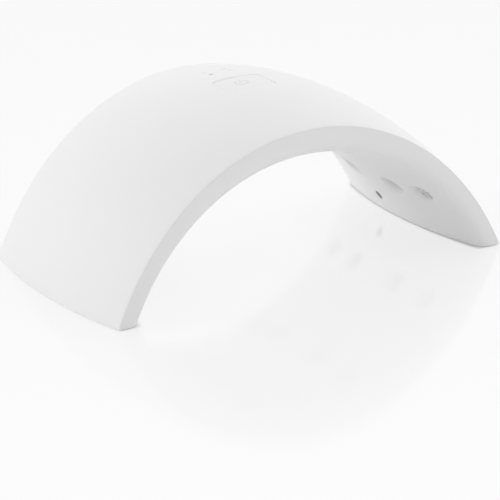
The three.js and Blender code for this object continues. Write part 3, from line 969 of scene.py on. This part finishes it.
def rounded_outline(turn_share, length, width, corner):
    """A point on a rounded rectangle; each quarter turn is half a side, a corner, half a side."""
    quarter, way = divmod(turn_share * 4, 1)
    x_sign = 1 if quarter in (0, 3) else -1
    y_sign = 1 if quarter in (0, 1) else -1
    if quarter in (1, 3):
        way = 1 - way
    half_x = length / 2
    half_y = width / 2
    if way < STRAIGHT_SHARE:
        x = half_x
        y = (half_y - corner) * way / STRAIGHT_SHARE
    elif way > 1 - STRAIGHT_SHARE:
        x = (half_x - corner) * (1 - way) / STRAIGHT_SHARE
        y = half_y
    else:
        angle = math.pi / 2 * (way - STRAIGHT_SHARE) / (1 - 2 * STRAIGHT_SHARE)
        x = half_x - corner + corner * math.cos(angle)
        y = half_y - corner + corner * math.sin(angle)
    return Vector((x_sign * x, y_sign * y, 0))


def rounding(softness):
    """(way in, way down) for each step of a rounded edge, from its side to its top."""
    return [(softness * (1 - x), softness * (1 - y)) for x, y in quarter_steps(FLARE_STEPS)]


# (outward growth, depth below the skin) of a hole's cutter, from deep under the skin to above it
HOLE_STEPS = [(0, WALL + 2 * OVERRUN), *rounding(HOLE_SOFTNESS), (HOLE_SOFTNESS, -OVERRUN)]


def key_hole_cutter():
    def lay(turn_share, ring):
        growth, below = HOLE_STEPS[ring]
        side = KEY_GAP + growth
        point = rounded_outline(
            turn_share, KEY_LENGTH + 2 * side, KEY_WIDTH + 2 * side, KEY_CORNER + side)
        point.z = cover_level(point.x, point.y) - below
        return point
    return post("key_hole_cutter", KEY_SIDES, len(HOLE_STEPS), lay)


def dot_hole_cutter(place):
    def lay(turn_share, ring):
        growth, below = HOLE_STEPS[ring]
        x, y = around(PIPE_RADIUS + DOT_GAP + growth, turn_share, place)
        return Vector((x, y, cover_level(x, y) - below))
    return post("dot_hole_cutter", ROUND_SIDES, len(HOLE_STEPS), lay)


inlet_low, inlet_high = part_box("power_inlet")
inlet_place = Vector((0, (inlet_low.y + inlet_high.y) / 2, (inlet_low.z + inlet_high.z) / 2))
INLET_NOSE_RADIUS = 3.8 * MM


def reach_at(inset, level):
    drop, height, reach = ellipse(inset)
    return reach * math.sqrt(1 - ((level - GROUND_GAP + drop) / height) ** 2)


def inlet_hole_cutter():
    def lay(turn_share, ring):
        growth, below = HOLE_STEPS[ring]
        radius = INLET_NOSE_RADIUS + CLEARANCE + growth
        y, z = around(radius, turn_share, inlet_place.yz)
        return Vector((reach_at(cover_inset(y), z) - below, y, z))
    return post("inlet_hole_cutter", FINE_SIDES, len(HOLE_STEPS), lay)


hole_cutters = [key_hole_cutter()]
hole_cutters.extend(dot_hole_cutter(place) for place in pipe_places.values())
hole_cutters.append(inlet_hole_cutter())
for cutter in hole_cutters:
    combine(outer_cover, cutter, "DIFFERENCE")
finish(outer_cover, WHITE_SHELL, ["outer_cover"])
print("Outer cover:", len(outer_cover.data.polygons), "faces")

# %% [markdown]
# ## Inner cover
# The inner cover is the skin over the hand together with the front and back faces. Seen from
# the side, the skin swells towards the hand, rolls up to the faces in a soft curve and ends in a
# flat band about four millimetres wide. Its outline is therefore worked out in three parts: a
# straight face, a rounded shoulder as a quadratic curve, and a long shallow arc.

# %% Skin of the inner cover
HAND_ALONG = 180
FACE_ROWS = 3
ROUND_ROWS = 16
SWELL_ROWS = 26
HAND_ACROSS = 2 * (FACE_ROWS + ROUND_ROWS + SWELL_ROWS)
EDGE_SEAM = 0.02 * MM
HAND_RIM_SHARPNESS = math.radians(40)


def mixed(a, b, share):
    return a + (b - a) * share


def hand_outline(way, behind):
    """(y, inset) of the hand side; way runs from -1 at the front face to 1 at the back face."""
    row = abs(way) * HAND_ACROSS / 2
    face = HALF_DEPTH - behind
    seam_inset = EDGE_SEAM if behind == 0 else cover_inset(face) + WALL + SEAM
    band = FACE_BAND - behind / 2
    slope = RIM_BACK / math.sqrt(HAND_RADIUS ** 2 - RIM_BACK ** 2)
    if row <= SWELL_ROWS:
        y = RIM_BACK * row / SWELL_ROWS
        inset = hand_inset(y) - behind
    elif row <= SWELL_ROWS + ROUND_ROWS:
        share = (row - SWELL_ROWS) / ROUND_ROWS
        bend = (face, RIM_INSET - behind - slope * (face - RIM_BACK))
        first = (mixed(RIM_BACK, bend[0], share), mixed(RIM_INSET - behind, bend[1], share))
        second = (mixed(bend[0], face, share), mixed(bend[1], band, share))
        y = mixed(first[0], second[0], share)
        inset = mixed(first[1], second[1], share)
    else:
        share = (row - SWELL_ROWS - ROUND_ROWS) / FACE_ROWS
        y = face
        inset = mixed(band, seam_inset, share)
    return math.copysign(y, way), inset


def lay_hand(share, way, inside):
    y, inset = hand_outline(way, WALL if inside else 0)
    return on_arch(share, inset, y)


def is_hand_rim(edge):
    on_end = all(abs(v.co.y) > HALF_DEPTH - HAIR for v in edge.verts)
    on_foot = all(v.co.z < GROUND_GAP + HAIR for v in edge.verts)
    return (on_end or on_foot) and edge.calc_face_angle(0) > HAND_RIM_SHARPNESS


inner_cover = slab("inner_cover_skin", HAND_ALONG, HAND_ACROSS, lay_hand)
bevel(inner_cover, is_hand_rim, RIM_SOFTNESS / 2, 1)
print("Inner cover faces:", len(inner_cover.data.polygons))

# %% [markdown]
# ## Soles
# Each foot is closed by a plate that spans from the seam to the hand side. A second slab fills
# the whole space between the two skins, and a bisect at the height of the plate leaves only the
# two feet of it. Adding them to the cover makes skin and soles one moulding.

# %% Soles
def behind_hand(name, along, outer_inset):
    """A slab from the middle of the hand skin's wall to an inset inside the outer cover's skin."""
    def lay(share, way, inside):
        if inside:
            y, inset = hand_outline(way, WALL / 2)
            return on_arch(share, inset, y)
        y = way * (HALF_DEPTH - WALL / 2)
        return on_arch(share, cover_inset(y) + outer_inset, y)
    return slab(name, along, HAND_ACROSS, lay)


def soles():
    between = behind_hand("soles", HAND_ALONG, WALL + SEAM)
    cut_above(between, plate_top)
    face_outwards(between)
    return between


combine(inner_cover, soles(), "UNION")
print("Inner cover with soles, faces:", len(inner_cover.data.polygons))

# %% [markdown]
# ## Reflector cups
# Every lamp sits at the back of a bowl-shaped cup that gathers its light onto the nail. Outside
# the hand skin the cup is a plain cone with its own wall, cut to the space behind the skin. The
# hollow is a post whose rings follow the skin and narrow fast at first and then slowly, as in a
# bell: the opening has a soft rim, and only its deepest part lies in shade.

# %% Cups
STRIP_SHARES = {
    "left_lower": -0.735,
    "left_upper": -0.25,
    "right_upper": 0.25,
    "right_lower": 0.735,
}
STRIP_INSET = 10.1 * MM
BOARD_THICK = 1.6 * MM
STRIP_SCREW_LENGTH = 6 * MM
CUP_BACK_RADIUS = 3.5 * MM
CUP_MOUTH_RADIUS = 6.2 * MM
CUP_WALL = 1.3 * MM
CUP_LIP = 0.8 * MM
CUP_OVERRUN = 1.5 * MM
BELL_STEPS = 10
BELL_POWER = 2.6
SKIN_LOWEST = -14 * MM
SKIN_HIGHEST = 3 * MM
HALVINGS = 24
LEDS_IN_STRIP = 4

strip_frames = {name: station(share, STRIP_INSET) for name, share in STRIP_SHARES.items()}


def led_places(strip):
    """Where the lamps of a strip stand from front to back, along the strip's own frame."""
    turn_back = strip_frames[strip].inverted()
    return [
        (turn_back @ middle(f"uv_led_{strip}_{k}")).y for k in range(1, LEDS_IN_STRIP + 1)]


def outside_hand(point):
    """Below zero on the hand's side of the inner skin, above zero behind it."""
    drop, height, reach = ellipse(hand_inset(point.y))
    across = point.x / reach
    up = (point.z - GROUND_GAP + drop) / height
    return across ** 2 + up ** 2 - 1


def skin_depth(place, x, y):
    """The level of the hand skin along a frame's Z axis, found by halving a span that holds it."""
    low = SKIN_LOWEST
    high = SKIN_HIGHEST
    for _ in range(HALVINGS):
        level = (low + high) / 2
        if outside_hand(place @ Vector((x, y, level))) > 0:
            high = level
        else:
            low = level
    return (low + high) / 2


def cup_cutter(place, y_middle):
    rim = CUP_MOUTH_RADIUS + CUP_LIP
    steps = [(rim, -CUP_OVERRUN, 0)]
    for k in range(BELL_STEPS + 1):
        narrowed = (k / BELL_STEPS) ** (1 / BELL_POWER)
        steps.append((mixed(rim, CUP_BACK_RADIUS, narrowed), 0, k / BELL_STEPS))
    steps.append((CUP_BACK_RADIUS, OVERRUN, 1))

    def lay(turn_share, ring):
        radius, above, share = steps[ring]
        x, y = around(radius, turn_share, (0, y_middle))
        return place @ Vector((x, y, mixed(skin_depth(place, x, y), 0, share) + above))
    return post("cup_cutter", FINE_SIDES, len(steps), lay)


def cup_outside(place, y):
    deep = -skin_depth(place, 0, y)
    bpy.ops.mesh.primitive_cone_add(
        vertices=FINE_SIDES, radius1=CUP_MOUTH_RADIUS + CUP_WALL,
        radius2=CUP_BACK_RADIUS + CUP_WALL, depth=deep - CLEARANCE,
        location=(0, y, -(deep + CLEARANCE) / 2))
    return settle(named("cup_outside"), place)


def strip_boss(place):
    deep = -skin_depth(place, 0, 0)
    return settle(rod("strip_boss", BOSS_RADIUS, -deep, -CLEARANCE), place)


def crown_seat(name):
    place = middle(name)
    low = level_at(hand_inset(place.y), 0) - WALL
    high = head_seat(name) + CLEARANCE + WALL
    return upright("crown_seat", HEAD_HOLE + CUP_WALL, place, low, high)


grown = [crown_seat(name) for name in CROWN_SCREWS]
for strip, place in strip_frames.items():
    grown.append(strip_boss(place))
    grown.extend(cup_outside(place, y) for y in led_places(strip))
space = behind_hand("space_behind_hand", HAND_ALONG // 2, -WALL)
combine(inner_cover, combine(join("grown", grown), space, "INTERSECT"), "UNION")
for strip, place in strip_frames.items():
    for y in led_places(strip):
        combine(inner_cover, cup_cutter(place, y), "DIFFERENCE")
print("Inner cover with cups, faces:", len(inner_cover.data.polygons))

# %% [markdown]
# ## Seats in the inner cover
# The last cuts are small: bores for the screws, wells for their heads, pockets for the foot
# pads, and round windows for the hand sensor. The wells have a little chamfer, made by a cutter
# with a wider last ring.

# %% Seats
SENSOR_SHARE = 0.905
SENSOR_BACK = 0.17 * HALF_DEPTH
SENSOR_RADIUS = 2.2 * MM
PAD_RADIUS = 4.6 * MM
PAD_THICK = 1.4 * MM
CHAMFER = 0.35 * MM

sensor_frames = {
    side: station(sign * SENSOR_SHARE, hand_inset(SENSOR_BACK), SENSOR_BACK)
    for side, sign in SIDES.items()}


def well(radius, low, rim, place, chamfer=CHAMFER):
    """A round well that opens downwards at the level of its rim with a chamfer."""
    profile = [
        (radius + chamfer + OVERRUN, rim - OVERRUN), (radius + chamfer, rim),
        (radius, rim + chamfer), (radius, low)]
    return settle(turned("well", ROUND_SIDES, profile), over(place))


def seats():
    cuts = []
    pocket = PAD_RADIUS + CLEARANCE / 2
    for name, pad in zip(CASE_SCREWS, FOOT_PADS):
        place = middle(name)
        cuts.append(well(HEAD_HOLE, head_seat(name) + CLEARANCE, GROUND_GAP, place))
        cuts.append(upright("bore", SCREW_HOLE, place, -OVERRUN, plate_top + OVERRUN))
        cuts.append(well(pocket, PAD_THICK + CLEARANCE, GROUND_GAP, middle(pad), CHAMFER / 2))
    for name in CROWN_SCREWS:
        place = middle(name)
        seat = head_seat(name) + CLEARANCE
        cuts.append(well(HEAD_HOLE, seat, level_at(hand_inset(place.y), 0), place))
        cuts.append(upright("bore", SCREW_HOLE, place, seat - OVERRUN, seat + WALL + OVERRUN))
    for place in sensor_frames.values():
        window = rod("window", SENSOR_RADIUS + CLEARANCE / 2, -WALL, WALL + OVERRUN)
        cuts.append(settle(window, place))
    for place in strip_frames.values():
        bore = rod("bore", SCREW_HOLE, BOARD_THICK - STRIP_SCREW_LENGTH, OVERRUN)
        cuts.append(settle(bore, place))
    return cuts


for cutter in seats():
    combine(inner_cover, cutter, "DIFFERENCE")
finish(inner_cover, WHITE_LINER, ["inner_cover"])
print("Inner cover:", len(inner_cover.data.polygons), "faces")

# %% [markdown]
# ## Key
# The key is a moulded cap with a flange that holds it under the cover and a stem that stands
# over the switch. Its top lies a touch below the crown, which is why the photograph shows the
# wall of the opening only along its back and right sides. One post makes the whole cap: its
# rings climb the stem, cross the hollow, go round the flange and up the side, roll over a small
# radius and close over the top along the curve of the crown.

# %% Key cap
KEY_SUNK = 0.15 * MM
KEY_WALL = 1.6 * MM
KEY_FLANGE = 1.1 * MM
KEY_FLANGE_THICK = 1.2 * MM
KEY_SOFTNESS = 0.2 * MM
KEY_TOP_RINGS = 9
STEM_RADIUS = 2.6 * MM

key_low, key_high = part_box("timer_button")
FLANGE_LENGTH = key_high.x - key_low.x
FLANGE_WIDTH = key_high.y - key_low.y
flange_top = cover_level(FLANGE_LENGTH / 2, FLANGE_WIDTH / 2, WALL) - CLEARANCE
flange_bottom = flange_top - KEY_FLANGE_THICK
key_ceiling = flange_top + CLEARANCE


def key_rings():
    """(length, width, corner, level or None, depth below the crown) for each ring."""
    stem = (2 * STEM_RADIUS, 2 * STEM_RADIUS, STEM_RADIUS)
    hollow = (KEY_LENGTH - 2 * KEY_WALL, KEY_WIDTH - 2 * KEY_WALL, KEY_CORNER - KEY_WALL)
    flange = (FLANGE_LENGTH, FLANGE_WIDTH, KEY_CORNER + KEY_GAP + KEY_FLANGE)
    cap = (KEY_LENGTH, KEY_WIDTH, KEY_CORNER)
    rings = [
        (*stem, key_low.z, 0), (*stem, key_ceiling, 0), (*hollow, key_ceiling, 0),
        (*hollow, flange_bottom, 0), (*flange, flange_bottom, 0), (*flange, flange_top, 0),
        (*cap, flange_top, 0)]
    for shrink, down in rounding(KEY_SOFTNESS):
        sides = (KEY_LENGTH - 2 * shrink, KEY_WIDTH - 2 * shrink, KEY_CORNER - shrink)
        rings.append((*sides, None, KEY_SUNK + down))
    for k in range(1, KEY_TOP_RINGS):
        share = 1 - k / KEY_TOP_RINGS
        rings.append((*(side * share for side in sides), None, KEY_SUNK))
    return rings


def key_cap():
    rings = key_rings()

    def lay(turn_share, ring):
        length, width, corner, level, below = rings[ring]
        point = rounded_outline(turn_share, length, width, corner)
        point.z = cover_level(point.x, point.y) - below if level is None else level
        return point
    return post("key_cap", KEY_SIDES, len(rings), lay)


finish(key_cap(), WHITE_KEY, ["timer_button"], "button")

# %% [markdown]
# ## Mark on the key
# The only sign on the key is the plain mark for switching a thing on and off: an open ring with
# a short bar. It is printed in grey ink, so it is a film of a few hundredths of a millimetre. A
# ring of quads is laid flat and thickened, and every vertex follows the top of the key.

# %% Power mark
MARK_RADIUS = 2.9 * MM
MARK_SHIFT = 1.3 * MM
MARK_STROKE = 0.5 * MM
MARK_OPENING = math.radians(62)
MARK_FILM = 0.03 * MM
MARK_STEPS = 48
BAR_TALL = 3.3 * MM
BAR_STEPS = 12
BAR_END = 1.15 * MARK_RADIUS


def print_film(name, along, outline):
    """A thin film on the key's top whose vertices are outline(share, way)."""
    def lay(share, way, inside):
        x, y = outline(share, way)
        key_top = cover_level(x, y) - KEY_SUNK
        return Vector((x, y, key_top - (MARK_FILM if inside else -MARK_FILM)))
    return slab(name, along, 2, lay)


def ring_outline(share, way):
    angle = math.pi / 2 + share * (math.pi - MARK_OPENING / 2) + math.pi
    radius = MARK_RADIUS + way * MARK_STROKE / 2
    return radius * math.cos(angle) - MARK_SHIFT, radius * math.sin(angle)


def bar_outline(share, way):
    y = BAR_END - BAR_TALL / 2 + share * BAR_TALL / 2
    return way * MARK_STROKE / 2 - MARK_SHIFT, y


mark = join("key_mark", [
    print_film("mark_ring", MARK_STEPS, ring_outline),
    print_film("mark_bar", BAR_STEPS, bar_outline)])
finish(mark, MARK_INK, (), "button")

# %% [markdown]
# ## Signal dots
# Behind the key two light pipes come up through the crown, one for each time that the lamp
# counts. Each is a milky acrylic rod with a collar under the cover and a rounded end just proud
# of it, turned from its profile. Behind each dot its number of seconds is printed very small.

# %% Light pipes
COLLAR_RADIUS = 2.1 * MM
COLLAR_THICK = 1 * MM
PIPE_PROUD = 0.05 * MM
PIPE_DOME = 0.25 * MM
DOME_STEPS = 6


def light_pipe(side):
    place = pipe_places[side]
    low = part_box(f"indicator_pipe_{side}")[0].z
    under = cover_inset(place.y + COLLAR_RADIUS) + WALL
    collar_top = level_at(under, abs(place.x) + COLLAR_RADIUS) - CLEARANCE
    top = cover_level(place.x, place.y) + PIPE_PROUD
    profile = [
        (PIPE_RADIUS, low), (PIPE_RADIUS, collar_top - COLLAR_THICK),
        (COLLAR_RADIUS, collar_top - COLLAR_THICK), (COLLAR_RADIUS, collar_top),
        (PIPE_RADIUS, collar_top)]
    for x, y in quarter_steps(DOME_STEPS)[:-1]:
        profile.append((PIPE_RADIUS * x, top - PIPE_DOME * (1 - y)))
    pipe = settle(turned(f"signal_dot_{side}", ROD_SIDES, profile), over(place))
    finish(pipe, LIT_AND_SHADED_SIGNAL_LENSES[side], [f"indicator_pipe_{side}"])


for side in SIDES:
    light_pipe(side)

# %% Printed seconds
LABEL_TALL = 2.6 * MM
LABEL_AWAY = 1 * MM
LABEL_BEHIND = 4.5 * MM
SECONDS = {"left": "30", "right": "60"}


def print_seconds(side):
    place = pipe_places[side]
    bpy.ops.object.text_add()
    words = bpy.context.object
    words.data.body = SECONDS[side]
    words.data.size = LABEL_TALL
    words.data.align_x = "CENTER"
    words.data.align_y = "CENTER"
    words.data.extrude = MARK_FILM
    only(words)
    bpy.ops.object.convert(target="MESH")
    label = named(f"seconds_{side}")
    x = place.x - LABEL_AWAY
    y = place.y + LABEL_BEHIND
    for vertex in label.data.vertices:
        point = Vector((x + vertex.co.x, y + vertex.co.y))
        vertex.co = Vector((*point, cover_level(*point) + vertex.co.z))
    finish(label, LABEL_INK)


for side in SIDES:
    print_seconds(side)
print("Signal dots at mm:", [round(p.x / MM, 1) for p in pipe_places.values()])

# %% [markdown]
# ## Lamps
# Each lamp is a low ceramic cup with a small chip in it and a clear dome over both. One lamp is
# modelled at the origin, looking down: the dome is half of a flattened sphere, the body a rod with
# a bevelled rim and an inset floor. It is then copied sixteen times, and each copy is moved to its
# place on its strip.

# %% Lamp pieces
LED_BASE_RADIUS = 2.5 * MM
LED_BASE_TALL = 1.1 * MM
LED_DOME_RADIUS = 2.05 * MM
LED_DOME_TALL = 1.2 * MM
LED_LEDGE = 0.05 * MM
LED_FLOOR_DEEP = 0.5 * MM
LED_RIM_LEVEL = 0.9 * MM
LED_RIM_SOFTNESS = 0.12 * MM
DIE_SIDE = 1.1 * MM
DIE_TALL = 0.18 * MM
DIE_SEAT = 0.62 * MM
DIE_SOFTNESS = 0.03 * MM
DOWNWARDS = -0.9


def is_sharp(edge):
    return edge.calc_face_angle(0) > 1


def is_lower_rim(edge):
    return is_sharp(edge) and edge.verts[0].co.z < -LED_RIM_LEVEL


def led_base():
    base = rod("led_base", LED_BASE_RADIUS, -LED_BASE_TALL, 0)
    pick(base, "FACE", lambda face: face.normal.z < DOWNWARDS)
    bpy.ops.mesh.inset(thickness=LED_BASE_RADIUS - LED_DOME_RADIUS - LED_LEDGE)
    push(LED_FLOOR_DEEP)
    close_edit()
    bevel(base, is_lower_rim, LED_RIM_SOFTNESS, 2)
    face_outwards(base)
    return base


def led_dome():
    bpy.ops.mesh.primitive_uv_sphere_add(
        segments=ROD_SIDES, ring_count=ROD_SIDES // 2, radius=LED_DOME_RADIUS)
    dome = named("led_dome")
    cut_above(dome, 0)
    dome.scale.z = LED_DOME_TALL / LED_DOME_RADIUS
    return settle(dome, Matrix.Translation((0, 0, -LED_BASE_TALL)))


def led_die():
    die = block("led_die", (DIE_SIDE, DIE_SIDE, DIE_TALL), -DIE_SEAT - DIE_TALL / 2)
    bevel(die, lambda edge: True, DIE_SOFTNESS, 1)
    return die


lamp_parts = {
    "body": (led_base(), DIE_CERAMIC),
    "dome": (led_dome(), CLEAR_DOME),
    "chip": (led_die(), STEEL),
}
for strip, place in strip_frames.items():
    for k, y in enumerate(led_places(strip), start=1):
        spot = place @ Matrix.Translation((0, y, -CLEARANCE))
        for part_name, (pattern, material) in lamp_parts.items():
            copied = copy_piece(pattern, f"lamp_{part_name}_{strip}_{k}", spot)
            stands_for = [f"uv_led_{strip}_{k}"] if part_name == "dome" else []
            finish(copied, material, stands_for)
for pattern, _ in lamp_parts.values():
    bpy.data.objects.remove(pattern)
print("Lamps:", LEDS_IN_STRIP * len(strip_frames))

# %% [markdown]
# ## Screws
# Zinc-plated pan-head screws hold everything. One post, turned from its profile, is the rounded
# head, the shank with a ridge for each turn of its thread, and the tip, and two blocks cut the
# cross. Screws of each length are modelled once and copied to their places.

# %% Screws
CROSS_LONG = 2.9 * MM
CROSS_WIDE = 0.55 * MM
CROSS_DEEP = 0.9 * MM
SCREW_SIDES = 24
THREAD_PITCH = 1 * MM
THREAD_HALF = 0.35 * MM
CORE_RADIUS = 0.8 * SCREW_RADIUS
TIP_RADIUS = 0.15 * SCREW_RADIUS
# The head's outline: how far in from its rim, and at which share of its height.
HEAD_OUTLINE = ((0.5 * MM, 1), (0.15 * MM, 0.8), (0, 0.5), (0, 0))
CASE_SCREW_LENGTH = 10 * MM
CROWN_SCREW_LENGTH = 9 * MM


def screw(length):
    """A screw along +Z from the seat under its head."""
    profile = [
        (SCREW_HEAD_RADIUS - inwards, -share * SCREW_HEAD_TALL) for inwards, share in HEAD_OUTLINE]
    profile.append((SCREW_RADIUS, 0))
    for turn in range(1, int(length / THREAD_PITCH) - 1):
        level = turn * THREAD_PITCH
        profile.extend([
            (CORE_RADIUS, level - THREAD_HALF), (SCREW_RADIUS, level),
            (CORE_RADIUS, level + THREAD_HALF)])
    profile.append((TIP_RADIUS, length))
    made = turned("screw", SCREW_SIDES, profile)
    for x, y in ((CROSS_LONG, CROSS_WIDE), (CROSS_WIDE, CROSS_LONG)):
        combine(made, block("blade", (x, y, 2 * CROSS_DEEP), -SCREW_HEAD_TALL), "DIFFERENCE")
    return made


def place_screws(length, places):
    pattern = screw(length)
    for name, matrix in places.items():
        finish(copy_piece(pattern, f"{name}_detail", matrix), STEEL, [name])
    bpy.data.objects.remove(pattern)


def seated(nodes):
    """Where upright screws sit."""
    return {node: Matrix.Translation((*middle(node).xy, head_seat(node))) for node in nodes}


on_strip = Matrix.Translation((0, 0, BOARD_THICK + CLEARANCE)) @ Matrix.Rotation(math.pi, 4, "X")
strip_seats = {
    f"led_board_screw_{strip}": place @ on_strip for strip, place in strip_frames.items()}
place_screws(CASE_SCREW_LENGTH, seated(CASE_SCREWS))
place_screws(CROWN_SCREW_LENGTH, seated(CROWN_SCREWS))
place_screws(STRIP_SCREW_LENGTH, {**seated(BOARD_SCREWS), **strip_seats})
print("Screws on the strips:", len(strip_seats))

# %% [markdown]
# ## Feet
# Four soft pads let the lamp stand without sliding. Each is a low disc with a rolled lower rim
# and two shallow rings that grip, made from a rod by insets that are pushed in turn by turn.

# %% Foot pads
GROOVES = 2
GROOVE_SPACING = 0.9 * MM
GROOVE_SLOPE = 0.15 * MM
GROOVE_DEEP = 0.15 * MM
GROOVE_WIDE = 0.5 * MM
PAD_SOFTNESS = 0.25 * MM
NEARLY = 0.99


def is_middle_of_sole(face):
    return face.normal.z < DOWNWARDS and face.calc_center_median().xy.length < MM


def is_pad_rim(edge):
    return is_sharp(edge) and edge.verts[0].co.xy.length > NEARLY * PAD_RADIUS


def foot_pad(node):
    pad = rod(f"{node}_soft", PAD_RADIUS, 0, PAD_THICK, FINE_SIDES)
    for _ in range(GROOVES):
        pick(pad, "FACE", is_middle_of_sole)
        bpy.ops.mesh.inset(thickness=GROOVE_SPACING)
        bpy.ops.mesh.inset(thickness=GROOVE_SLOPE)
        push(GROOVE_DEEP)
        bpy.ops.mesh.inset(thickness=GROOVE_WIDE)
        push(-GROOVE_DEEP)
        close_edit()
    bevel(pad, is_pad_rim, PAD_SOFTNESS, 3)
    finish(settle(pad, over(middle(node))), PAD_RUBBER, [node])


for name in FOOT_PADS:
    foot_pad(name)

# %% [markdown]
# ## Hand sensor
# Low in each leg a small window of smoked acrylic hides an infrared eye: the lamp starts by
# itself when a hand breaks the beam. The window is turned with a collar behind the skin and a
# face that is a little domed, so that it takes a small highlight.

# %% Sensor windows
SENSOR_COLLAR_RADIUS = 3.4 * MM
SENSOR_COLLAR_THICK = 0.9 * MM
SENSOR_DOME = 0.25 * MM
SENSOR_DOME_STEPS = 4
SMALLEST_RING = 0.08


def sensor_window(side, place):
    collar_low = WALL + CLEARANCE
    profile = [
        (SENSOR_RADIUS * max(x, SMALLEST_RING), SENSOR_DOME * (1 - y))
        for y, x in quarter_steps(SENSOR_DOME_STEPS)]
    profile.extend([
        (SENSOR_RADIUS, collar_low), (SENSOR_COLLAR_RADIUS, collar_low),
        (SENSOR_COLLAR_RADIUS, collar_low + SENSOR_COLLAR_THICK)])
    window = settle(turned(f"sensor_lens_{side}", ROUND_SIDES, profile), place)
    finish(window, SMOKED_LENS, [f"sensor_window_{side}"])


for side, place in sensor_frames.items():
    sensor_window(side, place)

# %% [markdown]
# ## Power inlet
# The lamp is fed through a round low-voltage inlet in its right leg. It is a black block with a
# nose that fills the hole in the cover and a steel pin in its bore. The block gets bevelled
# edges, and the nose is turned with a chamfered mouth and joined on.

# %% Inlet and pin
INLET_BORE_RADIUS = 2.9 * MM
INLET_BORE_DEEP = 9 * MM
INLET_PIN_RADIUS = 1 * MM
INLET_LENGTH = 9.4 * MM
INLET_SIDE = 9 * MM
INLET_SOFTNESS = 0.5 * MM
NOSE_CHAMFER = 0.3 * MM
MOUTH_CHAMFER = 0.35 * MM
# The pin's tip: shares of its radius, and how far before its end.
PIN_TIP = ((1, 0.5 * MM), (0.8, 0.15 * MM), (0.45, 0))


def power_inlet():
    socket = block("inlet_socket", (INLET_SIDE, INLET_SIDE, INLET_LENGTH), INLET_LENGTH / 2)
    bevel(socket, lambda edge: True, INLET_SOFTNESS, 3)
    nose_end = inlet_high.x - inlet_low.x
    nose = turned("nose", FINE_SIDES, [
        (INLET_NOSE_RADIUS, INLET_LENGTH - OVERRUN),
        (INLET_NOSE_RADIUS, nose_end - NOSE_CHAMFER),
        (INLET_NOSE_RADIUS - NOSE_CHAMFER, nose_end)])
    combine(socket, nose, "UNION")
    bore = turned("bore", FINE_SIDES, [
        (INLET_BORE_RADIUS, nose_end - INLET_BORE_DEEP),
        (INLET_BORE_RADIUS, nose_end - MOUTH_CHAMFER),
        (INLET_BORE_RADIUS + MOUTH_CHAMFER, nose_end),
        (INLET_BORE_RADIUS + MOUTH_CHAMFER, nose_end + OVERRUN)])
    return combine(socket, bore, "DIFFERENCE")


to_the_right = Matrix.Rotation(math.pi / 2, 4, "Y")
inlet_frame = Matrix.Translation((inlet_low.x, inlet_place.y, inlet_place.z)) @ to_the_right
finish(settle(power_inlet(), inlet_frame), BLACK_PLASTIC, ["power_inlet"])

pin_low, pin_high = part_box("inlet_pin")
pin_length = pin_high.x - pin_low.x
pin_profile = [(INLET_PIN_RADIUS, 0)]
pin_profile.extend((share * INLET_PIN_RADIUS, pin_length - before) for share, before in PIN_TIP)
pin = turned("inlet_contact", SCREW_SIDES, pin_profile)
pin_frame = Matrix.Translation((pin_low.x - inlet_low.x, 0, 0)) @ inlet_frame
finish(settle(pin, pin_frame), STEEL, ["inlet_pin"])
print("Inlet mouth at mm:", round(inlet_high.x / MM, 2))

# %% [markdown]
# ## Parts that stay as they are
# The boards, the leads, the switch and the sensor modules lie hidden between the covers, and
# their frame shapes are right. They keep their own meshes and only take a finish.

# %% Finishes of the hidden parts
KEPT_FINISHES = {
    "control_board": GREEN_BOARD,
    "led_board_": WHITE_BOARD,
    "timer_chip": BLACK_PLASTIC,
    "capacitor": BLACK_PLASTIC,
    "switch_": BLACK_PLASTIC,
    "indicator_light_": DIE_CERAMIC,
    "sensor_module_": BLACK_PLASTIC,
    "strip_lead_": LEAD_JACKET,
    "sensor_lead_": LEAD_JACKET,
    "inlet_lead": LEAD_JACKET,
}

kept = 0
for node_name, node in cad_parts.items():
    if node.hide_render:
        continue
    material = next(m for start, m in KEPT_FINISHES.items() if node_name.startswith(start))
    node.data.materials.clear()
    node.data.materials.append(material)
    kept += 1
print("Kept nodes:", kept)

# %% [markdown]
# The last step brings the scene up to date.

# %% Update the scene
bpy.context.view_layer.update()
